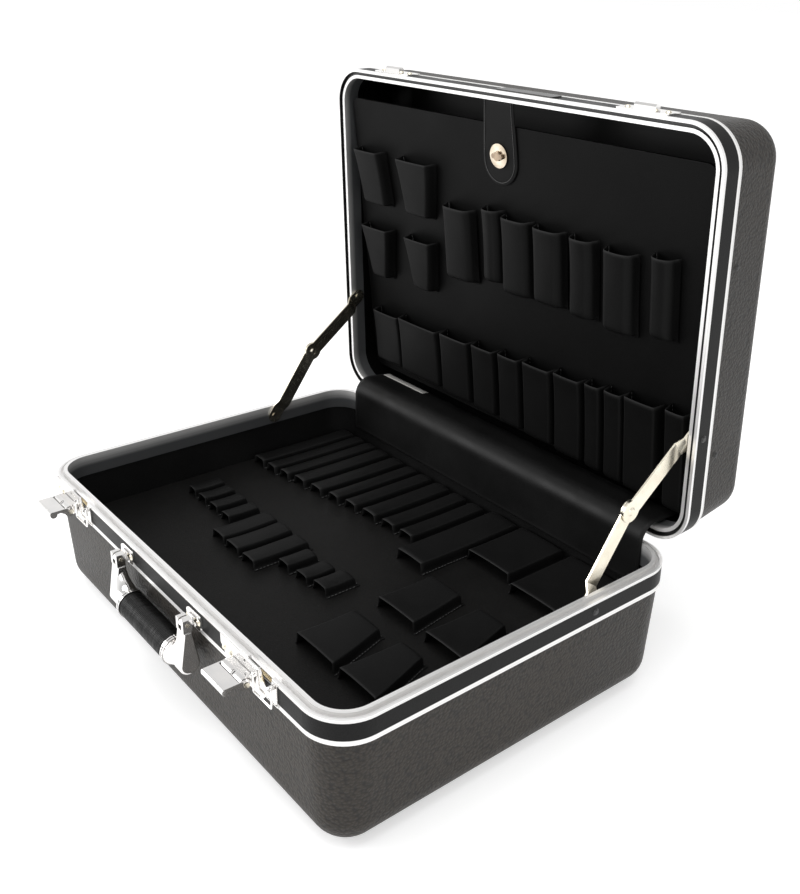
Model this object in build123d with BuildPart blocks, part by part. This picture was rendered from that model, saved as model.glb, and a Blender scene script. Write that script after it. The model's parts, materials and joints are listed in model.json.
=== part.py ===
from build123d import *
import os
from math import acos, asin, atan, cos, degrees, hypot, radians, sin, tan

os.makedirs("parts", exist_ok=True)

# A moulded tool case, standing open on its base, in millimetres.
# The origin is the middle of the base's underside, with the front at -Y and the hinges at +Y.

# Overall sizes
case_width = 460.0
case_depth = 332.0
corner_radius = 33.5
parting_height = 114.0
lid_height = 80.0
lid_open = 88.0
running_gap = 0.3
pin_gap = 0.05

# Aluminium rims: t runs inward from the outer face, z runs from the parting plane into each half
rim_height = 20.0
leg_thickness = 1.8
rim_gap = 0.15
outer_lip = 2.65
web_start = 3.2
web_end = 5.0
inner_lip_width = 3.2
inner_leg_thickness = 1.5
inner_leg_rise = 2.0
tongue_height = 1.5
tongue_room = 1.9
band_start = 2.7
band_end = 16.3
band_depth = 0.8
band_relief = 0.05

# Moulded shells and their linings
wall = 3.0
neck_inset = leg_thickness + 0.05
body_inset = 2.0
base_draft = 3.15
lid_draft = 4.3
base_edge_radius = 24.0
lid_edge_radius = 17.0
lining_gap = 0.15
lining_room = 0.1
lining_thickness = 1.9
lid_lining_depth = 60.0

# Boards
board_height = 62.0
board_thickness = 3.2
rest_height = 9.0
rest_width = 11.0
rest_corner = 80.0
lid_board_front = 29.0
lid_board_rear = 17.0
lid_board_side = 13.0
lid_board_depth = 9.0
lid_board_slope = 0.077
lid_board_corner = 8.0
lid_rest_margin = 20.0

# Hinges
hinge_place = 130.0
hinge_width = 70.0
knuckle_radius = 3.9
hinge_pin_radius = 1.5
hinge_pin_head = 2.4
leaf_thickness = 1.2
leaf_far = 17.0
leaf_corner = 3.0
knuckle_count = 5
knuckle_gap = 0.3
knuckle_tab_lap = 1.0
pin_head_stand = 0.5
pin_head_height = 1.2
rivet_pitch = 25.0

# Rivets
rivet_radius = 1.4
rivet_head_radius = 2.6
rivet_head_height = 1.1
side_rivet_depth = 32.0
side_rivet_places = (-61.5, 91.0)
side_rivet_grip = 4.0

# Lid stays
stay_set_back = 101.2
stay_rivet_depth = 9.5
stay_length = 78.0
stay_thickness = 1.5
stay_end_radius = 7.0
stay_knee_radius = 9.0
stay_rivet_radius = 1.8
stay_head_radius = 3.2
stay_head_height = 0.8
knee_head_radius = 3.6
knee_head_top = 2.2
knee_head_height = 1.0
stay_jog_start = 9.0
stay_jog_end = 16.0
stay_inner_plane = 7.3

# Handle: an arm's cheek stands at each end, and flares inward to the grip's collar
handle_half_span = 56.0
handle_out = 9.4
handle_pivot_height = 103.5
handle_drop = 34.0
grip_half_length = 36.0
grip_radius = 11.2
rod_radius = 4.0
collar_radius = 11.9
collar_groove = 0.8
collar_step = 1.4
arm_width = 11.0
arm_depth = 7.0
arm_foot_radius = 8.2
arm_edge_radius = 1.6
flare_rise = 9.0
flare_bulge = 1.2
flare_neck = 2.2
flare_lap = 1.0
fork_depth = 7.0
fork_top = 4.2
fork_bottom = 6.0
fork_slot = 4.6
fork_floor = 1.2
handle_pin_radius = 1.5
handle_pin_stand = 0.6
post_plate_width = 21.0
post_plate_height = 12.0
post_plate_thickness = 2.0
post_plate_corner = 3.0
post_neck_width = 9.0
post_rivet_edge = 3.1
post_lug_height = 7.0

# Latches: places along the rim are counted from each latch's reference, depths from the parting
latch_place = 149.0
latch_plate_left = 54.0
latch_plate_right = 20.0
latch_plate_bottom = 18.5
latch_plate_top = 1.0
plate_thickness = 1.2
plate_rivet_steps = (5.0, 13.5)
plate_slant = 10.0
plate_slant_top = 8.0
skirt_left = 17.0
skirt_right = 5.0
skirt_bottom = 22.0
skirt_slant = 3.0
opening_left = 2.0
opening_right = 13.6
opening_bottom = 12.0
opening_bend = (3.3, 8.0)
keyhole_place = 21.0
keyhole_depth = 4.6
keyhole_radius = 0.9
window_left = 18.0
window_right = 12.0
window_bottom = 7.0
window_over = 1.0
housing_left = 37.0
housing_right = 11.0
housing_radius = 5.2
housing_lift = 0.4
lever_down = 15.5
lever_reach = 18.2
lever_top = 4.0
lever_thickness = 1.4
lever_round = 1.8
lever_lip = 3.2
lever_hub_radius = 4.3
cheek_thickness = 1.2
cheek_bulge_radius = 3.0
cheek_bulge_place = 15.0
cheek_waist = (9.0, 1.4)
lever_pin_radius = 1.2
lever_pin_stand = 0.4
lever_pin_head = 0.8
plug_place = 22.0
plug_radius = 2.3
plug_tilt = 30.0
plug_inset = 0.5
plug_length = 2.8
key_slot_width = 0.9
key_slot_length = 3.0
key_slot_depth = 1.2
bail_offset = 5.0
bail_half_width = 11.5
bail_length = 15.0
bail_wire_radius = 0.75
bail_corner = 1.2
bail_down = 5.0
bail_out = 3.5
lug_half_spacing = 9.6
lug_thickness = 1.2
lug_radius = 1.9
spring_radius = 1.1
spring_down = 3.8
spring_in = 1.4
tab_place = -5.0
tab_thickness = 1.2
tab_depth = 2.3
tab_top = 2.2
tab_bottom = 4.8

# Strikes and name plate
strike_offset = 2.0
strike_width = 50.0
strike_bottom = 3.0
strike_top = 18.0
strike_rivet_edge = 6.0
hump_width = 20.0
hump_top = 8.5
hump_out = 6.5
hump_chamfer = 1.5
name_plate_place = 28.0
name_plate_width = 66.0
name_plate_height = 11.0
name_plate_thickness = 0.9
plate_corner = 1.5

# Tongue and turn lock of the lid board
tongue_place = -4.0
tongue_width = 43.0
tongue_end = 64.5
tongue_thickness = 2.0
tongue_shoulder = 8.0
turn_lock_spot = 46.0
turn_plate_radius = 10.5
turn_plate_thickness = 1.0
turn_stud_radius = 4.0
turn_wing_length = 13.0
turn_wing_width = 4.4
turn_wing_height = 2.0

# Pockets
pocket_wall = 1.2
mouth_over = 1.0
pocket_edge = 2.4
loop_height = 9.0
pocket_height = 11.0
lid_pocket_height = 12.0
pocket_side_margin = 8.9
pocket_end_margin = 4.9

# Feet and hinge cover
foot_depth = 46.0
lid_foot_depth = 40.0
foot_set_in = 45.0
foot_radius = 7.0
foot_tip_radius = 5.0
foot_height = 4.0
cover_end_gap = 32.0
cover_thickness = 1.2
cover_bow = 3.3
cover_lift = 15.0
cover_turn = 97.0
cover_run = 26.5

# The board sizes that the pockets' places are drawn for
drawn_width = 441.8
drawn_depth = 313.8
drawn_lid_width = 434.0
drawn_lid_front = -137.0
drawn_lid_depth = 286.0

# Worked-out places
hinge_offset = knuckle_radius + running_gap
leaf_near = hinge_offset + running_gap
lever_out = plate_thickness + housing_lift + housing_radius
plug_face = housing_radius - plug_inset
plug_seat = plug_face - plug_length
hinge_y = case_depth / 2 + hinge_offset
front_y = -case_depth / 2
side_x = case_width / 2
wall_face = body_inset + wall + lining_gap
lining_face = wall_face + lining_thickness
lining_start = neck_inset + wall + lining_gap
inner_leg_start = lining_start + lining_thickness + lining_room
inner_lip_end = inner_leg_start + inner_leg_thickness
inner_lip_start = inner_lip_end - inner_lip_width
inner_leg_height = rim_height - inner_leg_rise
board_depth_below = parting_height - board_height
rest_top = board_depth_below + board_thickness
rest_bottom = rest_top + rest_height
board_inset = lining_face + (rest_top - rim_height) * tan(radians(base_draft)) + running_gap
board_width = case_width - 2 * board_inset
board_depth = case_depth - 2 * board_inset
lid_board_width = case_width - 2 * lid_board_side
lid_tilt = degrees(atan(lid_board_slope))
lid_board_length = (case_depth - lid_board_front - lid_board_rear) / cos(radians(lid_tilt))
spread_x = (board_width / 2 - pocket_side_margin) / (drawn_width / 2 - pocket_side_margin)
spread_y = (board_depth / 2 - pocket_end_margin) / (drawn_depth / 2 - pocket_end_margin)
lid_spread_x = lid_board_width / drawn_lid_width

lid_pose = (
    Location((0, hinge_y, parting_height))
    * Location((0, 0, 0), (-lid_open, 0, 0))
    * Location((0, -hinge_y, -parting_height))
)


def on_lid(plane):
    """A plane given on the closed lid, moved to where the open lid holds it."""
    return Plane(lid_pose * plane.location)


base_half = Plane(origin=(0, 0, parting_height), x_dir=(1, 0, 0), z_dir=(0, 0, -1))
lid_half = on_lid(Plane.XY.offset(parting_height))
board_face = Plane.XY.offset(board_height)
lid_board_face = on_lid(
    Plane(
        origin=(0, front_y + lid_board_front, parting_height + lid_board_depth),
        x_dir=(1, 0, 0),
        z_dir=(0, lid_board_slope, -1),
    )
)


def front_site(x, below):
    """A seat on the front face of the rim, facing out."""
    return Location((x, front_y, parting_height - below), (90, 0, 0))


def rear_site(x, below):
    """A seat on the rear face of the rim, facing out."""
    return Location((x, case_depth / 2, parting_height - below), (-90, 0, 0))


def side_site(side, y, below):
    """A seat on the right or left face of the rim, facing out."""
    return Location((side * side_x, y, parting_height - below), (0, side * 90, 0))


stay_y = hinge_y - stay_set_back
hinge_rivets = [
    (side * hinge_place + step * rivet_pitch) for side in (-1, 1) for step in (-1, 0, 1)
]
leaf_middle = (leaf_near + leaf_far) / 2
latch_refs = (-latch_place, latch_place)
band_middle = (band_start + band_end) / 2
window_middle = (window_bottom - window_over) / 2
window_shift = (window_right - window_left) / 2
plate_middle = (latch_plate_bottom + latch_plate_top) / 2
plate_rivets = [ref - latch_plate_left + step for ref in latch_refs for step in plate_rivet_steps]
housing_middle = (housing_left + housing_right) / 2
post_rivet_step = post_plate_width / 2 - post_rivet_edge
post_rivets = [
    side * handle_half_span + end * post_rivet_step for side in (-1, 1) for end in (-1, 1)
]
post_middle = parting_height - handle_pivot_height
strike_places = [ref + strike_offset for ref in latch_refs]
strike_rivet_step = strike_width / 2 - strike_rivet_edge
strike_rivets = [place + end * strike_rivet_step for place in strike_places for end in (-1, 1)]
strike_middle = (strike_bottom + strike_top) / 2

base_leaf_sites = [rear_site(x, leaf_middle) for x in hinge_rivets]
lid_leaf_sites = [lid_pose * rear_site(x, -leaf_middle) for x in hinge_rivets]
plate_sites = [front_site(x, plate_middle) for x in plate_rivets]
post_sites = [front_site(x, post_middle) for x in post_rivets]
strike_sites = [lid_pose * front_site(x, -strike_middle) for x in strike_rivets]
base_stay_sites = [side_site(side, stay_y, stay_rivet_depth) for side in (-1, 1)]
lid_stay_sites = [lid_pose * side_site(side, stay_y, -stay_rivet_depth) for side in (-1, 1)]


def frame_ring(half, near, far, start, end, mode=Mode.ADD):
    """A rounded frame between two insets of the case's outline."""
    with BuildSketch(half.offset(start)) as section:
        RectangleRounded(case_width - 2 * near, case_depth - 2 * near, corner_radius - near)
        RectangleRounded(
            case_width - 2 * far, case_depth - 2 * far, corner_radius - far, mode=Mode.SUBTRACT
        )
    extrude(section.sketch, amount=end - start, mode=mode)


def tapered_block(half, inset, start, end, draft, mode=Mode.ADD):
    """A drafted block whose inset is the one it has at the rim's lower edge."""
    near = inset + (start - rim_height) * tan(radians(draft))
    with BuildSketch(half.offset(start)) as section:
        RectangleRounded(case_width - 2 * near, case_depth - 2 * near, corner_radius - near)
    extrude(section.sketch, amount=end - start, taper=draft, mode=mode)


def drill(sites, radius, depth):
    """Round holes from seats on an outer face, to a depth below it."""
    with Locations(*sites):
        Cylinder(radius + pin_gap, 2 * depth, mode=Mode.SUBTRACT)


def finish(name, block):
    """Label a finished piece and write it."""
    block.part.label = name
    export_step(block.part, f"parts/{name}.step")
    print(name, len(block.part.solids()), "solids")


# Shells
def moulded_form(half, inset, depth, draft, edge_radius):
    """A drafted, round-edged form: the outside or the hollow of a shell."""
    inward = Axis(half.origin, half.z_dir)
    with BuildPart() as form:
        tapered_block(half, inset, rim_height, depth, draft)
        fillet(form.edges().group_by(inward)[-1], edge_radius)
    return form


def moulded_shell(half, depth, draft, edge_radius, stay_sites):
    outside = moulded_form(half, body_inset, depth, draft, edge_radius)
    hollow = moulded_form(half, body_inset + wall, depth - wall, draft, edge_radius - wall)
    with BuildPart() as shell:
        add(outside.part)
        add(hollow.part, mode=Mode.SUBTRACT)
        frame_ring(half, neck_inset, neck_inset + wall, web_end, rim_height)
        drill(stay_sites, stay_rivet_radius, 2 * inner_lip_end)
    return shell


base_shell = moulded_shell(
    base_half, parting_height, base_draft, base_edge_radius, base_stay_sites
)
finish("base_shell", base_shell)


# Rims of bent aluminium, with the black band's groove
def rolled_rim(half, lip_start, holes):
    with BuildPart() as rim:
        frame_ring(half, 0, outer_lip, rim_gap, web_end)
        frame_ring(half, 0, leg_thickness, web_end, rim_height)
        frame_ring(half, 0, inner_lip_end, web_start, web_end)
        frame_ring(half, inner_lip_start, inner_lip_end, lip_start, web_end)
        frame_ring(half, inner_leg_start, inner_lip_end, web_end, inner_leg_height)
        frame_ring(half, 0, band_depth, band_start, band_end, Mode.SUBTRACT)
        for sites, radius, depth in holes:
            drill(sites, radius, depth)
    return rim


def latch_windows(depth):
    """The notches for the latches' springs, open at the top."""
    with BuildSketch(Plane.XZ.offset(-front_y)) as windows:
        for ref in latch_refs:
            with Locations((ref + window_shift, parting_height - window_middle)):
                Rectangle(window_left + window_right, window_bottom + window_over)
    extrude(windows.sketch, amount=-depth, mode=Mode.SUBTRACT)


base_rim = rolled_rim(
    base_half,
    -tongue_height,
    [
        (base_leaf_sites + plate_sites + post_sites, rivet_radius, outer_lip),
        (base_stay_sites, stay_rivet_radius, 2 * inner_lip_end),
    ],
)
with BuildPart() as base_rim_cut:
    add(base_rim.part)
    latch_windows(outer_lip)
finish("base_rim", base_rim_cut)

lid_rim = rolled_rim(
    lid_half,
    tongue_room,
    [
        (lid_leaf_sites + strike_sites, rivet_radius, outer_lip),
        (lid_stay_sites, stay_rivet_radius, 2 * inner_lip_end),
    ],
)
finish("lid_rim", lid_rim)

# Black bands in the rims' grooves
with BuildPart() as base_band:
    frame_ring(base_half, band_relief, band_depth, band_start, band_end)
    drill(base_leaf_sites + plate_sites + post_sites, rivet_radius, outer_lip)
    drill(base_stay_sites, stay_rivet_radius, 2 * inner_lip_end)
    latch_windows(leg_thickness)
finish("base_band", base_band)

with BuildPart() as lid_band:
    frame_ring(lid_half, band_relief, band_depth, band_start, band_end)
    drill(lid_leaf_sites + strike_sites, rivet_radius, outer_lip)
    drill(lid_stay_sites, stay_rivet_radius, 2 * inner_lip_end)
finish("lid_band", lid_band)

lid_shell = moulded_shell(lid_half, lid_height, lid_draft, lid_edge_radius, lid_stay_sites)

# Side rivets of the lid, which hold the rests of its board
side_rivet_inset = body_inset + (side_rivet_depth - rim_height) * tan(radians(lid_draft))
side_rivet_length = wall + lining_gap + lining_thickness + side_rivet_grip
side_rivet_sites = [
    lid_pose
    * Location(
        (side * (side_x - side_rivet_inset), y, parting_height + side_rivet_depth),
        (0, side * (90 - lid_draft), 0),
    )
    for side in (-1, 1)
    for y in side_rivet_places
]
with BuildPart() as lid_shell_drilled:
    add(lid_shell.part)
    drill(side_rivet_sites, rivet_radius, side_rivet_length)
finish("lid_shell", lid_shell_drilled)


# Black linings inside the walls
with BuildPart() as base_lining:
    tapered_block(base_half, wall_face, rim_height, rest_top, base_draft)
    tapered_block(base_half, lining_face, rim_height, rest_top, base_draft, Mode.SUBTRACT)
    frame_ring(base_half, lining_start, lining_start + lining_thickness, web_end, rim_height)
    drill(base_stay_sites, stay_rivet_radius, 2 * inner_lip_end)
finish("base_lining", base_lining)

with BuildPart() as lid_lining:
    tapered_block(lid_half, wall_face, rim_height, lid_lining_depth, lid_draft)
    tapered_block(lid_half, lining_face, rim_height, lid_lining_depth, lid_draft, Mode.SUBTRACT)
    frame_ring(lid_half, lining_start, lining_start + lining_thickness, web_end, rim_height)
    drill(lid_stay_sites, stay_rivet_radius, 2 * inner_lip_end)
    drill(side_rivet_sites, rivet_radius, side_rivet_length)
finish("lid_lining", lid_lining)

# Board rests: four strips round the base, two at the sides of the lid
with BuildPart() as base_board_rests:
    tapered_block(base_half, wall_face, rest_top, rest_bottom, base_draft)
    with BuildSketch(base_half.offset(rest_top)) as rest_opening:
        Rectangle(
            board_width - 2 * rest_width + 2 * running_gap,
            board_depth - 2 * rest_width + 2 * running_gap,
        )
    extrude(rest_opening.sketch, amount=rest_height, mode=Mode.SUBTRACT)
    with BuildSketch(base_half.offset(rest_top)) as rest_reach:
        Rectangle(case_width - 2 * rest_corner, case_depth)
        Rectangle(case_width, case_depth - 2 * rest_corner)
    extrude(rest_reach.sketch, amount=rest_height, mode=Mode.INTERSECT)
finish("base_board_rests", base_board_rests)

with BuildPart() as lid_board_rests:
    tapered_block(lid_half, lining_face + lining_gap, rim_height, lid_lining_depth, lid_draft)
    with BuildSketch(lid_board_face.offset(-board_thickness)) as lid_rest_reach:
        with Locations((0, -lid_board_length / 2)):
            with GridLocations(lid_board_width, 0, 2, 1):
                Rectangle(2 * rest_width, lid_board_length - 2 * lid_rest_margin)
    extrude(lid_rest_reach.sketch, amount=-rest_height, mode=Mode.INTERSECT)
    drill(side_rivet_sites, rivet_radius, side_rivet_length)
finish("lid_board_rests", lid_board_rests)

# Boards
with BuildPart() as base_board:
    with BuildSketch(board_face.offset(-board_thickness)):
        RectangleRounded(board_width, board_depth, corner_radius - board_inset)
    extrude(amount=board_thickness)
finish("base_board", base_board)

with BuildPart() as lid_board:
    with BuildSketch(lid_board_face.offset(-board_thickness)):
        with Locations((0, -lid_board_length / 2)):
            RectangleRounded(lid_board_width, lid_board_length, lid_board_corner)
    extrude(amount=board_thickness)
finish("lid_board", lid_board)

# Hinges: leaves with knuckles turn on a peened pin
knuckle_length = hinge_width / knuckle_count


def hinge_leaves(half_sign, knuckles, sites):
    """Two leaves on the rear of one half, with the knuckles that belong to it."""
    with BuildPart() as leaves:
        for side in (-1, 1):
            middle = side * hinge_place
            with BuildSketch(Plane.XZ.offset(-case_depth / 2)) as leaf:
                with Locations((middle, parting_height + half_sign * leaf_middle)):
                    RectangleRounded(hinge_width, leaf_far - leaf_near, leaf_corner)
            extrude(leaf.sketch, amount=-leaf_thickness)
            for index in knuckles:
                x = middle + (index - (knuckle_count - 1) / 2) * knuckle_length
                length = knuckle_length - knuckle_gap
                with BuildSketch(Plane.XZ.offset(-case_depth / 2)) as tab:
                    tab_length = leaf_near + knuckle_tab_lap
                    with Locations((x, parting_height + half_sign * tab_length / 2)):
                        Rectangle(length, tab_length)
                extrude(tab.sketch, amount=-leaf_thickness)
                with Locations(Location((x, hinge_y, parting_height), (0, 90, 0))):
                    Cylinder(knuckle_radius, length)
        for side in (-1, 1):
            with Locations(Location((side * hinge_place, hinge_y, parting_height), (0, 90, 0))):
                Cylinder(hinge_pin_radius + pin_gap, 2 * hinge_width, mode=Mode.SUBTRACT)
        drill(sites, rivet_radius, outer_lip)
    return leaves


hinge_base_leaves = hinge_leaves(-1, (0, 2, 4), base_leaf_sites)
finish("hinge_base_leaves", hinge_base_leaves)

closed_leaf_sites = [rear_site(x, -leaf_middle) for x in hinge_rivets]
hinge_lid_leaves_closed = hinge_leaves(1, (1, 3), closed_leaf_sites)
with BuildPart() as hinge_lid_leaves:
    add(hinge_lid_leaves_closed.part.moved(lid_pose))
finish("hinge_lid_leaves", hinge_lid_leaves)

with BuildPart() as hinge_pins:
    for side in (-1, 1):
        with Locations(Location((side * hinge_place, hinge_y, parting_height), (0, 90, 0))):
            Cylinder(hinge_pin_radius, hinge_width + 2 * pin_head_stand)
            for end in (-1, 1):
                head_place = end * (hinge_width / 2 + running_gap + pin_head_height / 2)
                with Locations((0, 0, head_place)):
                    Cylinder(hinge_pin_head, pin_head_height)
finish("hinge_pins", hinge_pins)


# Rivets, as separate solids in shared nodes
def rivet_set(groups):
    """Groups are seats with a head's lift above the rim, a shank radius and its length."""
    with BuildPart() as rivets:
        for sites, lift, radius, length in groups:
            with Locations(*[site * Location((0, 0, lift)) for site in sites]):
                Cone(
                    radius + rivet_head_radius - rivet_radius,
                    radius,
                    rivet_head_height,
                    align=(Align.CENTER, Align.CENTER, Align.MIN),
                )
                Cylinder(radius, length, align=(Align.CENTER, Align.CENTER, Align.MAX))
    return rivets


leaf_rivet_length = leaf_thickness + leg_thickness
inner_head_depth = inner_lip_end + running_gap + stay_thickness + 2 * pin_gap
stay_rivet_length = inner_head_depth + stay_head_height


def inner_heads(sites):
    """Peened heads that hold the stays against the rims' inner legs."""
    with Locations(*[site * Location((0, 0, -inner_head_depth)) for site in sites]):
        Cylinder(
            stay_head_radius, stay_head_height, align=(Align.CENTER, Align.CENTER, Align.MAX)
        )


base_rivet_set = rivet_set(
    [
        (base_leaf_sites, leaf_thickness, rivet_radius, leaf_rivet_length),
        (plate_sites, plate_thickness, rivet_radius, plate_thickness + leg_thickness),
        (post_sites, post_plate_thickness, rivet_radius, post_plate_thickness + leg_thickness),
        (base_stay_sites, 0, stay_rivet_radius, stay_rivet_length),
    ]
)
with BuildPart() as base_rivets:
    add(base_rivet_set.part)
    inner_heads(base_stay_sites)
finish("base_rivets", base_rivets)

lid_rivet_set = rivet_set(
    [
        (lid_leaf_sites, leaf_thickness, rivet_radius, leaf_rivet_length),
        (strike_sites, plate_thickness, rivet_radius, plate_thickness + leg_thickness),
        (lid_stay_sites, 0, stay_rivet_radius, stay_rivet_length),
    ]
)
with BuildPart() as lid_rivets:
    add(lid_rivet_set.part)
    inner_heads(lid_stay_sites)
finish("lid_rivets", lid_rivets)

lid_side_rivets = rivet_set([(side_rivet_sites, 0, rivet_radius, side_rivet_length)])
finish("lid_side_rivets", lid_side_rivets)

# Lid stays: two links each, whose knee stands in front of the line between their rivets
stay_reach = hypot(stay_set_back, stay_rivet_depth)
stay_half_angle = 90 - degrees(asin(stay_rivet_depth / stay_reach)) - lid_open / 2
rivet_distance = 2 * stay_reach * cos(radians(stay_half_angle))
line_angle = 90 - lid_open / 2
knee_angle = degrees(acos(rivet_distance / 2 / stay_length))
lower_open_angle = line_angle + knee_angle
upper_open_angle = 180 + line_angle - knee_angle
stay_closed_angle = 180 - degrees(asin(stay_rivet_depth / stay_length))
stay_travel = stay_closed_angle - lower_open_angle
print("stay travel", round(stay_travel, 4), "ratio", round(stay_travel / lid_open, 6))
open_rivet = lid_pose * Location((0, stay_y, parting_height + stay_rivet_depth))
lid_rivet_y = open_rivet.position.Y
lid_rivet_z = open_rivet.position.Z
print("lid stay rivet", round(lid_rivet_y, 4), round(lid_rivet_z, 4))


def stay_link(side, pivot_y, pivot_z, angle, plane_offset, knee_side):
    """A strip from an end rivet to the knee, jogged away from the rim.

    Local x runs along the link and local z towards +X; knee_side is where its rivet head is.
    """
    end_x = side * (side_x - inner_lip_end - running_gap - stay_thickness / 2)
    jog = side * (end_x * side - plane_offset) * -1
    strip = Plane(
        origin=(end_x, pivot_y, pivot_z),
        x_dir=(0, cos(radians(angle)), sin(radians(angle))),
        z_dir=(1, 0, 0),
    )
    half = stay_thickness / 2
    with BuildPart() as link:
        with BuildSketch(Plane(strip.origin, strip.x_dir, -strip.y_dir)) as edge_view:
            with BuildLine():
                Polyline(
                    (-stay_end_radius, -half),
                    (stay_jog_start, -half),
                    (stay_jog_end, jog - half),
                    (stay_length + stay_knee_radius, jog - half),
                    (stay_length + stay_knee_radius, jog + half),
                    (stay_jog_end, jog + half),
                    (stay_jog_start, half),
                    (-stay_end_radius, half),
                    close=True,
                )
            make_face()
        extrude(edge_view.sketch, amount=stay_knee_radius, both=True)
        with BuildSketch(strip.offset(-2 * stay_inner_plane)) as outline:
            Circle(stay_end_radius)
            with Locations((stay_length / 2, 0)):
                Rectangle(stay_length, 2 * stay_end_radius)
            with Locations((stay_length, 0)):
                Circle(stay_knee_radius)
        extrude(outline.sketch, amount=4 * stay_inner_plane, mode=Mode.INTERSECT)
        with Locations(strip.location):
            Cylinder(stay_rivet_radius + pin_gap, 4 * stay_thickness, mode=Mode.SUBTRACT)
        knee_spot = Location((stay_length, 0, jog + knee_side * half))
        facing = Location((0, 0, 0), (0, 90 - 90 * knee_side, 0))
        with Locations(strip.location * knee_spot * facing):
            Cone(
                knee_head_radius,
                knee_head_top,
                knee_head_height,
                align=(Align.CENTER, Align.CENTER, Align.MIN),
            )
    return link


inner_x = side_x - inner_lip_end - stay_inner_plane + stay_thickness / 2
outer_x = inner_x + stay_thickness + running_gap
stay_right_lower = stay_link(
    1, stay_y, parting_height - stay_rivet_depth, lower_open_angle, inner_x, -1
)
finish("stay_right_lower", stay_right_lower)
stay_right_upper = stay_link(1, lid_rivet_y, lid_rivet_z, upper_open_angle, outer_x, 1)
finish("stay_right_upper", stay_right_upper)
stay_left_lower = stay_link(
    -1, stay_y, parting_height - stay_rivet_depth, lower_open_angle, outer_x, -1
)
finish("stay_left_lower", stay_left_lower)
stay_left_upper = stay_link(-1, lid_rivet_y, lid_rivet_z, upper_open_angle, inner_x, 1)
finish("stay_left_upper", stay_left_upper)

# Handle: posts on the rim carry two forked arms, whose flares hold the grip between them
handle_y = front_y - handle_out
grip_z = handle_pivot_height - handle_drop
fork_sweep = hypot(fork_top, fork_depth / 2) + running_gap
lug_width = fork_slot - 2 * running_gap
with BuildPart() as handle_posts:
    for side in (-1, 1):
        with BuildSketch(Plane.XZ.offset(-front_y)) as post_plate:
            with Locations((side * handle_half_span, parting_height - post_middle)):
                RectangleRounded(post_plate_width, post_plate_height, post_plate_corner)
        extrude(post_plate.sketch, amount=post_plate_thickness)
        with BuildSketch(Plane.XZ.offset(-front_y)) as neck:
            with Locations((side * handle_half_span, handle_pivot_height)):
                Rectangle(post_neck_width, post_lug_height)
        extrude(neck.sketch, amount=handle_out - fork_sweep)
        with BuildSketch(Plane.YZ.offset(side * handle_half_span - lug_width / 2)) as lug:
            with Locations(((handle_y + front_y) / 2, handle_pivot_height)):
                Rectangle(handle_out, post_lug_height)
            with Locations((handle_y, handle_pivot_height)):
                Circle(post_lug_height / 2)
        extrude(lug.sketch, amount=lug_width)
    with Locations(Location((0, handle_y, handle_pivot_height), (0, 90, 0))):
        Cylinder(handle_pin_radius + pin_gap, case_width, mode=Mode.SUBTRACT)
    drill(post_sites, rivet_radius, 4 * outer_lip)
finish("handle_posts", handle_posts)

arm_inner = handle_half_span - arm_width / 2
collar_end = grip_half_length + 2 * collar_step + collar_groove
neck_radius = collar_radius - collar_groove
flare_middle = (collar_end + arm_inner) / 2
flare_across = arm_foot_radius - flare_neck


def handle_arm(side):
    """A cast arm: a forked head, a tapered cheek, a flare and a stepped collar."""
    cheek_plane = Plane.YZ.offset(side * handle_half_span - arm_width / 2)
    with BuildPart() as arm:
        with BuildSketch(cheek_plane) as cheek:
            with BuildLine():
                neck_z = handle_pivot_height - fork_bottom
                Line((handle_y - arm_depth / 2, neck_z), (handle_y + arm_depth / 2, neck_z))
                Line((handle_y + arm_depth / 2, neck_z), (handle_y + arm_foot_radius, grip_z))
                RadiusArc(
                    (handle_y + arm_foot_radius, grip_z),
                    (handle_y - arm_foot_radius, grip_z),
                    arm_foot_radius,
                )
                Line((handle_y - arm_foot_radius, grip_z), (handle_y - arm_depth / 2, neck_z))
            make_face()
        extrude(cheek.sketch, amount=arm_width)
        fillet(arm.edges().filter_by(Axis.X, reverse=True), arm_edge_radius)
        with BuildSketch(cheek_plane) as head:
            with Locations((handle_y, handle_pivot_height + (fork_top - fork_bottom) / 2)):
                Rectangle(fork_depth, fork_top + fork_bottom)
        extrude(head.sketch, amount=arm_width)
        flares = []
        for x, rise, across, up in (
            (collar_end, 0, neck_radius, neck_radius - pin_gap),
            (flare_middle, flare_rise / 4, arm_foot_radius + flare_bulge, neck_radius),
            (arm_inner + flare_lap, flare_rise, flare_across, arm_foot_radius + flare_rise),
        ):
            with BuildSketch(Plane.YZ.offset(side * x)) as flare:
                with Locations((handle_y, grip_z + rise)):
                    Ellipse(across, up)
            flares.append(flare.sketch)
        loft(flares)
        collar_middle = grip_half_length + collar_step + collar_groove / 2
        ring_shift = (collar_step + collar_groove) / 2
        with Locations(Location((side * collar_middle, handle_y, grip_z), (0, 90, 0))):
            Cylinder(neck_radius, 2 * collar_step + collar_groove)
            with Locations((0, 0, -ring_shift), (0, 0, ring_shift)):
                Cylinder(collar_radius, collar_step)
        fork_cut = Plane.XY.offset(handle_pivot_height - fork_bottom + fork_floor)
        with BuildSketch(fork_cut) as slot:
            with Locations((side * handle_half_span, handle_y)):
                Rectangle(fork_slot, 2 * fork_depth)
        extrude(slot.sketch, amount=fork_top + fork_bottom, mode=Mode.SUBTRACT)
        with Locations(Location((0, handle_y, handle_pivot_height), (0, 90, 0))):
            Cylinder(handle_pin_radius + pin_gap, case_width, mode=Mode.SUBTRACT)
    return arm


handle_arm_left = handle_arm(-1)
handle_arm_right = handle_arm(1)
with BuildPart() as handle_arms:
    add(handle_arm_left.part)
    add(handle_arm_right.part)
finish("handle_arms", handle_arms)

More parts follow.
